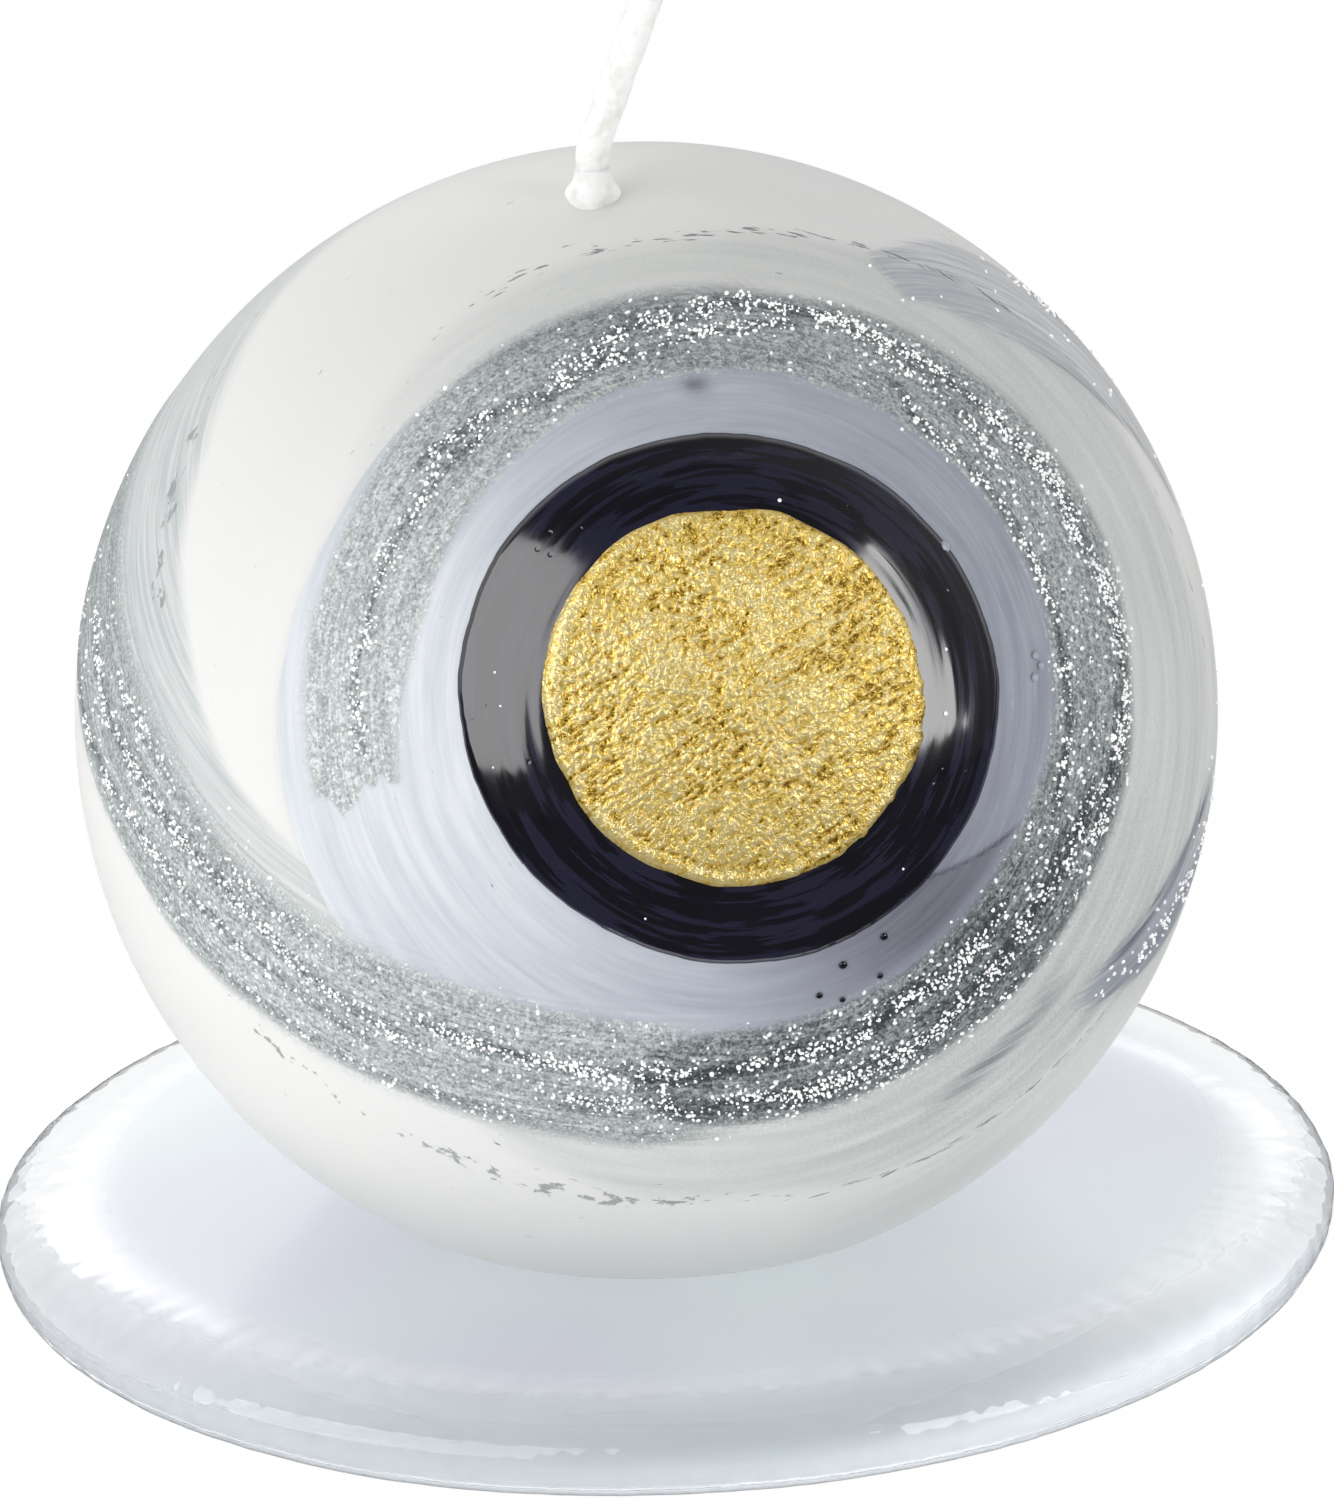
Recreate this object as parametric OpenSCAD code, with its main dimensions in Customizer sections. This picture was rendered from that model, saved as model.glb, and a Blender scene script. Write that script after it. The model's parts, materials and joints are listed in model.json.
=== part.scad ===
// Painted ball candle on a round glass plate, in millimetres, +Z up.
// The origin is the centre of the plate's underside, and the painted motif faces -Y.

/* [Glass plate] */
// Diameter of the plate
plate_d = 120; // [100:1:160]
// Thickness of the plate, whose edge is fully rounded
plate_t = 8; // [5:0.5:12]

/* [Wax ball] */
// Diameter of the ball over its dipped coat
ball_d = 100; // [80:1:130]
// Diameter of the flat foot that the ball stands on
foot_d = 48; // [44:1:60]
// Thickness of the hard dipped coat round the cast core
dip_t = 1.6; // [0.8:0.1:3]
// How far the candle stands in front of the plate's centre
candle_forward = 5; // [0:0.5:8]

/* [Wick] */
// Diameter of the waxed wick
wick_d = 3; // [2:0.1:4]
// Place of the wick from the ball's axis, to the right
wick_side = -2.8; // [-6:0.1:6]
// Place of the wick from the ball's axis, to the front
wick_front = 7.6; // [0:0.1:9]
// Diameter of the wax bead where the wick comes out
collar_d = 5.8; // [5:0.1:9]
// Straight length of the wick above the wax bead
wick_stub = 0.6; // [0.2:0.1:4]
// Length of the free tip of the wick, from where it bends
wick_free = 15; // [8:0.1:25]
// Lean of the free tip to the right, in degrees
wick_lean = 21; // [0:1:30]
// Play between the free tip and its seat
bend_gap = 0.1; // [0.05:0.01:0.2]

/* [Wick sustainer] */
// Diameter of the pressed metal tab under the wick
tab_d = 15; // [12:0.5:18]
// Thickness of the tab
tab_t = 0.4; // [0.2:0.05:1]
// Height of the crimped neck that holds the wick
neck_h = 5; // [3:0.5:10]
// Wall of the neck
neck_wall = 0.5; // [0.2:0.05:1]
// Depth of the poured wax plug that closes the foot below the tab
plug_h = 3; // [1.5:0.5:8]
// Room round the tab and its neck
tab_gap = 0.1; // [0.05:0.05:0.5]

/* [Painted motif] */
// How far the motif's middle looks up, in degrees
motif_up_angle = 20.2; // [0:0.1:40]
// How far the motif's middle turns to the right, in degrees
motif_side_angle = 9.7; // [-30:0.1:30]
// Width of the gold disc, measured over the ball
gold_w = 33; // [20:0.5:40]
// Width of the dark ring round the gold disc
dark_w = 6.7; // [4:0.1:10]
// Width of the lavender ring round the dark ring
lavender_w = 18; // [12:0.1:20]
// Thickness of the lavender coat
lavender_t = 0.2; // [0.1:0.05:0.5]
// Thickness of the dark glaze
dark_t = 0.3; // [0.1:0.05:0.6]
// Thickness of the gold leaf relief
gold_t = 0.7; // [0.3:0.05:1.5]

/* [Glitter strokes] */
// Bare lavender between the dark ring and the glitter ring
ring_gap = 5.8; // [3:0.1:8]
// Width of the glitter ring
ring_w = 10.7; // [5:0.1:11]
// Thickness of a glitter stroke
glitter_t = 0.4; // [0.2:0.05:0.8]
// Radius of the sweep round the left side, measured over the ball
sweep_r = 67.5; // [62:0.5:70]
// Width of the sweep
sweep_w = 14; // [8:0.5:16]
// Radius of the grey stroke round the right side, measured over the ball
stroke_r = 34; // [31:0.5:37]
// Width of the grey stroke
stroke_w = 8; // [4:0.5:10]

/* [Hidden] */
$fn = 120;
ball_r = ball_d / 2;
core_r = ball_r - dip_t;
foot_r = foot_d / 2;
plate_r = plate_d / 2;
edge_r = plate_t / 2;
wick_r = wick_d / 2;
collar_r = collar_d / 2;
tab_r = tab_d / 2;
neck_r = wick_r + neck_wall;

// Heights from the ball's centre
foot_z = -sqrt(ball_r * ball_r - foot_r * foot_r);
tab_z = foot_z + plug_h;
wick_exit_z = sqrt(ball_r * ball_r - wick_side * wick_side - wick_front * wick_front);
stub_top_z = wick_exit_z + sqrt(collar_r * collar_r - wick_r * wick_r) + wick_stub;
// The seat of the free tip covers this much of its round end, from straight below
seat_angle = 45;
seat_r = wick_r + bend_gap;
bend_z = stub_top_z + seat_r * cos(seat_angle);

// Half angles of the motif's rings, seen from the ball's centre
gold_a = over_ball(gold_w / 2);
dark_a = gold_a + over_ball(dark_w);
lavender_a = dark_a + over_ball(lavender_w);
ring_a = dark_a + over_ball(ring_gap);
ring_end_a = ring_a + over_ball(ring_w);

// Outer faces of the coats, each laid on the one before it
lavender_r = ball_r + lavender_t;
dark_r = lavender_r + dark_t;
gold_r = dark_r + gold_t;
ring_r = lavender_r + glitter_t;
sweep_face_r = ball_r + glitter_t;
stroke_face_r = ball_r + lavender_t;

// The arc that the glitter ring covers, in degrees from the right: its ends leave the lower left bare
ring_from_angle = -112;
ring_turn_angle = 306;

// Where the two outer strokes turn about, in degrees up and to the right, and the arc that each covers
sweep_up_angle = 58;
sweep_side_angle = 7.8;
sweep_from_angle = 135;
sweep_turn_angle = 123;
stroke_up_angle = 20;
stroke_side_angle = 46;
stroke_from_angle = -92;
stroke_turn_angle = 174;

wax_white = [0.93, 0.93, 0.91];
wick_white = [0.97, 0.96, 0.93];
silver_grey = [0.66, 0.70, 0.70];

// Angle at the ball's centre of a length measured over the ball
function over_ball(length) = length / ball_r * 180 / PI;

// Puts what is drawn about the ball's centre onto the plate
module on_plate() translate([0, -candle_forward, plate_t - foot_z]) children();

// Turns the pole of what is drawn about the ball's centre to look this far up and to the right
module facing(up, side) rotate([90 - up, 0, side]) children();

// A round bar on the wick's axis
module along_wick(r, from_z, to_z)
    translate([wick_side, -wick_front, from_z]) cylinder(r = r, h = to_z - from_z);

// A ball about the origin, cut flat at the foot
module footed_ball(r)
    difference() {
        sphere(r = r);
        translate([-ball_r, -ball_r, foot_z - ball_d]) cube(ball_d);
    }

// A coat on the ball between two half angles from its pole, over part of a turn
module coat(inner_r, outer_r, from_a, to_a, turn = 360) {
    reach = 2 * outer_r;
    rotate_extrude(angle = turn) intersection() {
        difference() {
            circle(r = outer_r);
            circle(r = inner_r);
        }
        polygon([[0, 0], reach * [sin(from_a), cos(from_a)], reach * [sin(to_a), cos(to_a)]]);
    }
}

// The cone from the ball's centre through the edge of the lavender ring
module motif_cone()
    facing(motif_up_angle, motif_side_angle) cylinder(h = ball_d, r1 = 0, r2 = ball_d * tan(lavender_a));

// Thick clear disc with a round edge
module glass_plate()
    color([0.86, 0.90, 0.93, 0.6]) rotate_extrude() {
        square([plate_r - edge_r, plate_t]);
        translate([plate_r - edge_r, edge_r]) circle(r = edge_r);
    }

// Cast body of the candle, bored for the wick and pocketed for the tab
module wax_core()
    color(wax_white) on_plate() difference() {
        footed_ball(core_r);
        along_wick(wick_r, foot_z, ball_r);
        along_wick(neck_r + tab_gap, foot_z, tab_z + tab_t + neck_h);
        along_wick(tab_r + tab_gap, foot_z - plug_h, tab_z + tab_t);
    }

// Hard white shell that the core was dipped in, open at the flat foot
module dipped_coat()
    color(wax_white) on_plate() difference() {
        footed_ball(ball_r);
        sphere(r = core_r);
        along_wick(wick_r, 0, ball_d);
    }

// Poured wax that closes the foot
module base_plug()
    color(wax_white) on_plate() along_wick(tab_r + tab_gap, foot_z, tab_z);

// Pressed tab with the neck that grips the wick
module wick_sustainer()
    color("silver") on_plate() difference() {
        union() {
            along_wick(tab_r, tab_z, tab_z + tab_t);
            along_wick(neck_r, tab_z, tab_z + tab_t + neck_h);
        }
        along_wick(wick_r, tab_z - tab_t, tab_z + ball_r);
    }

// The wick where the wax holds it, with a round seat for the tip at its top
module wick_cord()
    color(wick_white) on_plate() difference() {
        along_wick(wick_r, tab_z, stub_top_z);
        translate([wick_side, -wick_front, bend_z]) sphere(r = seat_r);
    }

// Bead of wax that climbed the wick when the ball was dipped
module wick_collar()
    color(wax_white) on_plate() difference() {
        translate([wick_side, -wick_front, wick_exit_z]) sphere(r = collar_r);
        sphere(r = ball_r);
        along_wick(wick_r, 0, ball_d);
    }

// The free end of the wick, with a round lower end that turns in its seat
module wick_tip()
    color(wick_white) on_plate() translate([wick_side, -wick_front, bend_z]) rotate([0, wick_lean, 0])
        rotate_extrude() intersection() {
            union() {
                circle(r = wick_r);
                square([wick_r, wick_free]);
            }
            translate([0, -wick_r]) square([wick_r, wick_r + wick_free]);
        }

// Pale lavender paint under the whole motif
module lavender_coat()
    color([0.77, 0.78, 0.84]) on_plate() facing(motif_up_angle, motif_side_angle)
        coat(ball_r, lavender_r, 0, lavender_a);

// Blue-black glaze over the middle of the lavender paint
module dark_glaze()
    color([0.10, 0.09, 0.14]) on_plate() facing(motif_up_angle, motif_side_angle)
        coat(lavender_r, dark_r, 0, dark_a);

// Gilded relief in the middle of the dark glaze
module gold_disc()
    color([0.85, 0.70, 0.33]) on_plate() facing(motif_up_angle, motif_side_angle)
        coat(dark_r, gold_r, 0, gold_a);

// Silver glitter stroke that goes nearly once round the dark ring
module glitter_ring()
    color(silver_grey) on_plate() facing(motif_up_angle, motif_side_angle)
        rotate([0, 0, ring_from_angle]) coat(lavender_r, ring_r, ring_a, ring_end_a, ring_turn_angle);

// Silver glitter stroke that leaves the motif below and sweeps up the left side
module glitter_sweep()
    color(silver_grey) on_plate() difference() {
        facing(sweep_up_angle, sweep_side_angle) rotate([0, 0, sweep_from_angle])
            coat(ball_r, sweep_face_r, over_ball(sweep_r - sweep_w / 2),
                 over_ball(sweep_r + sweep_w / 2), sweep_turn_angle);
        motif_cone();
    }

// Thin grey stroke up the right side
module grey_stroke()
    color([0.72, 0.73, 0.77]) on_plate() difference() {
        facing(stroke_up_angle, stroke_side_angle) rotate([0, 0, stroke_from_angle])
            coat(ball_r, stroke_face_r, over_ball(stroke_r - stroke_w / 2),
                 over_ball(stroke_r + stroke_w / 2), stroke_turn_angle);
        motif_cone();
    }

glass_plate();
wax_core();
dipped_coat();
base_plug();
wick_sustainer();
wick_cord();
wick_collar();
wick_tip();
lavender_coat();
dark_glaze();
gold_disc();
glitter_ring();
glitter_sweep();
grey_stroke();
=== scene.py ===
import itertools
import json
import math

import bmesh
import bpy
import numpy as np
from mathutils import Matrix, Vector


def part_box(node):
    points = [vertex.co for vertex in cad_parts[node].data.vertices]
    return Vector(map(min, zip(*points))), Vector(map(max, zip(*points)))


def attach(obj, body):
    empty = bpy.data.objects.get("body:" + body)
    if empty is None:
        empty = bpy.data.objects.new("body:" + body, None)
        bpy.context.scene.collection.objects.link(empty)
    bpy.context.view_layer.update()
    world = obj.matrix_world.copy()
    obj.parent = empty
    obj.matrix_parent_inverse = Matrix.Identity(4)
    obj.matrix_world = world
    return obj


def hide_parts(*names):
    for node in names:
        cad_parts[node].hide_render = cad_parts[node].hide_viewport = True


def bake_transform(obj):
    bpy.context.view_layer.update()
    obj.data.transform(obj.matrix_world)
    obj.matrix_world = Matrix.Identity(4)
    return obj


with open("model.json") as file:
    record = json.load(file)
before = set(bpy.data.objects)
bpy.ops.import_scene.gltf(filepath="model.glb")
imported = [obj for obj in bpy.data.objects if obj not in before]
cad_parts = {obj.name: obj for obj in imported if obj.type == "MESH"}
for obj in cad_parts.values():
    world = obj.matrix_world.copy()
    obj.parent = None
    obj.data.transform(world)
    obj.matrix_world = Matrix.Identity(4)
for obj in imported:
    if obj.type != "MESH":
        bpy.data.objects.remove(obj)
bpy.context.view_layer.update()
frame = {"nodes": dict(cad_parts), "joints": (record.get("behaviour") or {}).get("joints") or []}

mm = 0.001

# Places that the frame gives
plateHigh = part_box("glass_plate")[1]
ballLow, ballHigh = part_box("dipped_coat")
wickLow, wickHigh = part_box("wick_cord")
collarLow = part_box("wick_collar")[0]
plateRadius = plateHigh.x
plateTop = plateHigh.z
ballRadius = round((ballHigh.x - ballLow.x) / 2, 4)
ballCentre = Vector((0, (ballLow.y + ballHigh.y) / 2, ballHigh.z - ballRadius))
wickAxis = Vector(((wickLow.x + wickHigh.x) / 2, (wickLow.y + wickHigh.y) / 2, 0))
wickRadius = (wickHigh.x - wickLow.x) / 2
bendPoint = Vector(next(j for j in frame["joints"] if j["name"] == "wick_bend")["pos_m"])
print("frame loaded, ball radius", ballRadius, "centre", [round(v, 5) for v in ballCentre])


# sRGB hex to the linear colour that shaders take
def linear(code):
    parts = [int(code[i:i + 2], 16) / 255 for i in (1, 3, 5)]
    return [p / 12.92 if p <= 0.04045 else ((p + 0.055) / 1.055) ** 2.4 for p in parts] + [1]


def joinUp(tree, source, socket):
    tree.links.new(source.outputs[0] if isinstance(source, bpy.types.Node) else source, socket)


# Adds one node. Its inputs are a list in the order of the sockets, or a dictionary by their names or numbers:
# a node or a socket is linked, anything else is set. stops are the colours of a ramp.
def addNode(tree, kind, inputs=(), stops=(), **settings):
    node = tree.nodes.new(kind if "Node" in kind else "ShaderNode" + kind)
    for key, value in settings.items():
        setattr(node, key, value)
    for key, value in inputs.items() if isinstance(inputs, dict) else enumerate(inputs):
        if isinstance(value, (bpy.types.Node, bpy.types.NodeSocket)):
            joinUp(tree, value, node.inputs[key])
        else:
            node.inputs[key].default_value = value
    if stops:
        while len(node.color_ramp.elements) < len(stops):
            node.color_ramp.elements.new(1)
        for element, (place, code) in zip(node.color_ramp.elements, stops):
            element.position = place
            element.color = linear(code)
    return node


def bareTree(owner):
    owner.use_nodes = True
    owner.node_tree.nodes.clear()
    return owner.node_tree


def startMaterial(name, shader):
    material = bpy.data.materials.new(name)
    tree = bareTree(material)
    skin = addNode(tree, "BsdfPrincipled", shader)
    addNode(tree, "OutputMaterial", {"Surface": skin})
    return material, tree, skin


# Links what changes over the surface to the shader
def drive(tree, skin, sources):
    for key, source in sources.items():
        joinUp(tree, source, skin.inputs[key])


# Bristle lines along a brush field: their width in mm, and how fast they change round the turn
def bristleLines(tree, brush, width, around, noise):
    drawn = addNode(tree, "VectorMath", [brush, (1 / width, around, around)], operation="MULTIPLY")
    return addNode(tree, "TexNoise", {"Vector": drawn, "Scale": 1.0, **noise})


# Smooth noise from -1 to 1 at rows of points, the same for the same seed
def softNoise(points, seed):
    cell = np.floor(points).astype(np.int64)
    part = points - cell
    part = part * part * (3 - 2 * part)
    total = np.zeros(points.shape[:-1])
    for corner in itertools.product((0, 1), repeat=3):
        key = (cell + corner) @ np.array([73856093, 19349663, 83492791]) + seed * 7919
        key = (key ^ (key >> 13)) * 1274126177 & 0x7FFFFFFF
        value = ((key ^ (key >> 15)) % 4096) / 2047.5 - 1
        total += value * np.prod(np.where(corner, part, 1 - part), axis=-1)
    return total


# Noise drawn out along a brush stroke: width across it in mm, how fast it changes round the turn, and a seed
def strokeNoise(arc, turn, width, around, seed):
    return softNoise(np.stack([arc / width, np.cos(turn) * around, np.sin(turn) * around], -1), seed)


# How far an edge strays in mm, from (mm, how fast it changes round the turn, seed) for each size of wave
def stray(turn, waves):
    along = np.zeros_like(turn)
    return sum(reach * strokeNoise(along, turn, 1, around, seed) for reach, around, seed in waves)


def smoothStep(low, high, value):
    part = np.clip((value - low) / (high - low), 0, 1)
    return part * part * (3 - 2 * part)


# 1 between a soft start and a soft stop, 0 outside
def between(value, start, stop):
    return smoothStep(*start, value) * (1 - smoothStep(*stop, value))


# The reach of a soft edge, with how far it goes to each side
def about(edge, soft):
    return edge - soft[0], edge + soft[1]


# A soft bump of this width about 0
def hump(value, width):
    return np.exp(-(value / width) ** 2)


# Turns the pole of a coat to look this far up and to the right, in degrees
def facing(up, side):
    sideways = Matrix.Rotation(math.radians(side), 3, "Z")
    return np.array(sideways @ Matrix.Rotation(math.radians(90 - up), 3, "X"))


# A value that changes round the turn, from (degrees, value) pairs, with its corners eased
def roundTurn(turn, knots, easing=(-8, -3, 3, 8)):
    places, values = zip(*knots)
    eased = sum(np.interp(np.degrees(turn) + shift, places, values, period=360) for shift in easing)
    return eased / len(easing)


# The same along part of a turn, in degrees
def alongTurn(degrees, knots):
    return np.interp(degrees, *zip(*knots))


# Degrees of a turn, counted on from a start
def unwound(turn, start):
    return np.mod(np.degrees(turn) - start, 360) + start


# How far points lie over the ball from a pole, in mm, and their turn about it
def polarOf(points, pole):
    local = (points - np.array(ballCentre)) @ pole
    half = np.arctan2(np.hypot(local[..., 0], local[..., 1]), local[..., 2])
    return half * ballRadius / mm, np.arctan2(local[..., 1], local[..., 0])


def onBall(pole, arc, turn, lift):
    half = arc * mm / ballRadius
    way = np.stack([np.sin(half) * np.cos(turn), np.sin(half) * np.sin(turn), np.cos(half)], -1)
    return np.array(ballCentre) + (way * (ballRadius + lift[..., None] * mm)) @ pole.T


def makeObject(name, mesh, material):
    mesh.materials.append(material)
    piece = bpy.data.objects.new(name, mesh)
    bpy.context.scene.collection.objects.link(piece)
    return piece


# Merges doubles, turns faces outwards and smooths
def tidyMesh(mesh, weld=0.002 * mm, sliver=0.001 * mm):
    work = bmesh.new()
    work.from_mesh(mesh)
    bmesh.ops.remove_doubles(work, verts=work.verts, dist=weld)
    bmesh.ops.dissolve_degenerate(work, edges=work.edges, dist=sliver)
    bmesh.ops.recalc_face_normals(work, faces=work.faces)
    for face in work.faces:
        face.smooth = True
    work.to_mesh(mesh)
    work.free()


def gridFaces(first, rows, columns, closed):
    steps = columns if closed else columns - 1
    i, j = np.meshgrid(np.arange(rows - 1), np.arange(steps), indexing="ij")
    k = (j + 1) % columns
    return np.stack([first + i * columns + j, first + (i + 1) * columns + j,
                     first + (i + 1) * columns + k, first + i * columns + k], -1).reshape(-1, 4)


def fullTurn(columns):
    return np.linspace(0, 2 * math.pi, columns, endpoint=False)


# A mesh from rows of points round a turn; open ends get a cap
def turnedMesh(name, points, rows, columns, capped=False):
    faces = gridFaces(0, rows, columns, True).tolist()
    if capped:
        faces += [list(range(columns)), [(rows - 1) * columns + j for j in range(columns)]]
    mesh = bpy.data.meshes.new(name)
    mesh.from_pydata(points.tolist(), [], faces)
    return mesh


def storeField(mesh, name, values):
    vector = values.ndim == 2
    field = mesh.attributes.new(name, "FLOAT_VECTOR" if vector else "FLOAT", "POINT")
    field.data.foreach_set("vector" if vector else "value", values.astype(np.float32).ravel())


# Camera at the photograph's place, from a fit of the ball's and the plate's outlines
camera = {"distance": 0.9, "up": 19.41, "roll": 2.2, "focalPx": 10218.1, "centrePx": (645.6, 693.9),
          "frame": (1334, 1500)}


def makeCamera():
    up, roll = math.radians(camera["up"]), math.radians(camera["roll"])
    back = Vector((0, -math.cos(up), math.sin(up)))
    right, above = Vector((1, 0, 0)), Vector((0, math.sin(up), math.cos(up)))
    rightTurned = math.cos(roll) * right - math.sin(roll) * above
    aboveTurned = math.sin(roll) * right + math.cos(roll) * above
    place = Vector((0, 0, ballCentre.z)) + back * camera["distance"]
    data = bpy.data.cameras.new("camera")
    wide, high = camera["frame"]
    data.lens = camera["focalPx"] / high * data.sensor_width
    data.shift_x = (wide / 2 - camera["centrePx"][0]) / high
    data.shift_y = (camera["centrePx"][1] - high / 2) / high
    lookout = bpy.data.objects.new("camera", data)
    columns = Matrix((rightTurned, aboveTurned, back)).transposed().to_4x4()
    lookout.matrix_world = Matrix.Translation(place) @ columns
    bpy.context.scene.collection.objects.link(lookout)
    bpy.context.scene.camera = lookout


makeCamera()
print("camera set")

# Studio: softboxes left and right of the camera, a strip behind that gleams on the plate, a light table, a room
# that is dark in front, and a white floor. Angles are in degrees, sizes in metres.
# Camera rays and rays out of glass meet white, mirrored rays meet the room itself.
studio = {
    "lamps": {
        "leftBox": {"side": -54, "up": 28, "away": 1.0, "size": (1.12, 0.85), "turn": 8, "radiance": 2.45},
        "rightBox": {"side": 51.5, "up": 21, "away": 1.0, "size": (0.36, 0.62), "turn": 8, "radiance": 4.4},
        "backStrip": {"side": -168, "up": 22.5, "away": 1.3, "size": (0.35, 0.2), "turn": 0, "radiance": 2.4},
        "lightTable": {"side": 0, "up": -90, "under": 0.02, "size": (1.4, 1.4), "turn": 0, "radiance": 0.45},
    },
    "roomFront": 0.1, "roomBack": 0.95, "roomTop": 0.68, "roomTurn": (-0.5, 0.5), "roomRise": (0.3, 0.95),
    "paper": "#F4F4F5", "floorWhite": 0.985, "floorShine": 0.06, "floorSize": 6.0, "floorDrop": 0.05,
}
white = (1, 1, 1, 1)


def makeLamps():
    for name, spec in studio["lamps"].items():
        side, up = math.radians(spec["side"]), math.radians(spec["up"])
        way = Vector((math.sin(side) * math.cos(up), -math.cos(side) * math.cos(up), math.sin(up)))
        data = bpy.data.lights.new(name, "AREA")
        data.shape = "RECTANGLE"
        data.size, data.size_y = spec["size"]
        data.energy = math.pi * data.size * data.size_y * spec["radiance"]
        lamp = bpy.data.objects.new(name, data)
        under = "under" in spec
        data.cycles.use_multiple_importance_sampling = not under
        place = Vector((0, 0, -spec["under"] * mm)) if under else ballCentre + way * spec["away"]
        aim = (-way).to_track_quat("-Z", "Y").to_matrix().to_4x4()
        spin = Matrix.Rotation(math.radians(spec["turn"]), 4, "Z")
        lamp.matrix_world = Matrix.Translation(place) @ aim @ spin
        lamp.visible_camera = False
        lamp.visible_glossy = lamp.visible_transmission = not under
        bpy.context.scene.collection.objects.link(lamp)


# The kinds of ray, and 1 for rays from the camera and out of glass that have met nothing matt
def seenRays(tree):
    path = addNode(tree, "LightPath").outputs
    glazed = addNode(tree, "Math", [path["Transmission Depth"], 0.5], operation="GREATER_THAN")
    straight = addNode(tree, "Math", [path["Diffuse Depth"], 0.5], operation="LESS_THAN")
    glazed = addNode(tree, "Math", [glazed, straight], operation="MULTIPLY")
    return path, addNode(tree, "Math", [path["Is Camera Ray"], glazed], operation="MAXIMUM")


def makeRoom():
    world = bpy.data.worlds.new("room")
    tree = bareTree(world)
    way = addNode(tree, "SeparateXYZ", [addNode(tree, "TexCoord").outputs["Generated"]]).outputs
    level = addNode(tree, "MapRange", [way["Y"], *studio["roomTurn"], studio["roomFront"], studio["roomBack"]],
                    interpolation_type="SMOOTHSTEP")
    dim = addNode(tree, "MapRange", [way["Z"], *studio["roomRise"], 1.0, studio["roomTop"]],
                  interpolation_type="SMOOTHSTEP")
    room = addNode(tree, "Math", [level, dim], operation="MULTIPLY")
    seen = seenRays(tree)[1]
    strength = addNode(tree, "Mix", {0: seen, 2: room, 3: 1.0})
    sky = addNode(tree, "Background", {"Color": white, "Strength": strength})
    addNode(tree, "OutputWorld", {"Surface": sky})
    bpy.context.scene.world = world


# Matt white paper that keeps the object's shadow
def makeFloor():
    half, low = studio["floorSize"] / 2, -studio["floorDrop"] * mm
    mesh = bpy.data.meshes.new("floor")
    corners = ((-1, -1), (1, -1), (1, 1), (-1, 1))
    mesh.from_pydata([(half * x, half * y, low) for x, y in corners], [], [(0, 1, 2, 3)])
    paper = bpy.data.materials.new("whitePaper")
    tree = bareTree(paper)
    matt = addNode(tree, "BsdfDiffuse", {"Color": linear(studio["paper"])})
    path, seen = seenRays(tree)
    bright = addNode(tree, "Math", [seen, studio["floorShine"]], operation="MAXIMUM")
    glow = addNode(tree, "Emission", {"Color": white, "Strength": bright})
    share = addNode(tree, "Math", [seen, path["Is Glossy Ray"]], operation="MAXIMUM")
    share = addNode(tree, "Math", [share, studio["floorWhite"]], operation="MULTIPLY")
    addNode(tree, "OutputMaterial", {"Surface": addNode(tree, "MixShader", [share, matt, glow])})
    floor = makeObject("floor", mesh, paper)


bpy.context.scene.view_settings.view_transform = "Standard"
makeLamps()
makeRoom()
makeFloor()
print("studio set")

# Where the painted motif and its strokes lie: poles in degrees up and to the right, and knots of
# (degrees round the pole, mm over the ball from it). Tones and amounts have knots of (degrees, 0 to 1).
motif = {
    "up": 20.2, "side": 9.7,
    "gold": ((-180, 16.4), (-120, 15.5), (-40, 15.7), (60, 15.8), (100, 16.4), (130, 16.9), (160, 16.6)),
    "dark": ((-180, 23.7), (-130, 22.4), (-60, 23.0), (0, 23.8), (60, 22.7), (140, 24.0)),
    "lavender": ((-180, 41.3), (-135, 41.2), (-100, 38.0), (0, 38.5), (60, 38.0), (100, 37.5), (140, 38.8)),
    # lavenderTone is lightest on the left and darkest at the lower right: partly thinner paint, partly painted
    # highlight on the left and painted shade at the lower right, as the light falls from the left
    "lavenderTone": ((-160, 0.92), (-130, 0.69), (-105, 0.55), (-80, 0.4), (-50, 0.14), (-20, 0.29),
                     (20, 0.37), (60, 0.45), (95, 0.57), (130, 0.7), (160, 0.94)),
    "lavenderStray": ((0.4, 2.2, 3),), "lavenderSoft": 0.7,
}
ringStroke = {
    "inner": ((-130, 32.5), (-100, 29.0), (-30, 28.2), (0, 30.3), (60, 29.0), (100, 29.0), (150, 27.6),
              (180, 28.8)),
    "outer": ((-110, 40.0), (-60, 39.0), (0, 41.0), (30, 41.3), (80, 38.7), (120, 39.0), (170, 38.0)),
    # the ring's tone is lightest at its left end and darkest at the lower right: partly the paint, partly painted
    # highlight and painted shade as the light falls from the left
    "tone": ((-120, 0.42), (-90, 0.36), (-45, 0.27), (0, 0.53), (45, 0.56), (90, 0.53), (130, 0.63),
             (160, 0.72), (190, 0.76)),
    "loose": ((-125, 0.06), (-70, 0.14), (-20, 0.12), (40, 0.07), (100, 0.04), (150, 0.02), (190, 0.01)),
    "innerStray": ((0.35, 4, 31),), "outerStray": ((0.5, 4, 32),), "innerSoft": (1.0, 1.4),
    "outerSoft": (1.8, 1.4), "from": -134, "to": 196, "fadeIn": (-133, -108), "cut": -164,
    "end": 189, "endFray": 1.3, "endBristle": 0.9, "endSoft": 0.7, "endSeed": 33,
}
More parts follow.
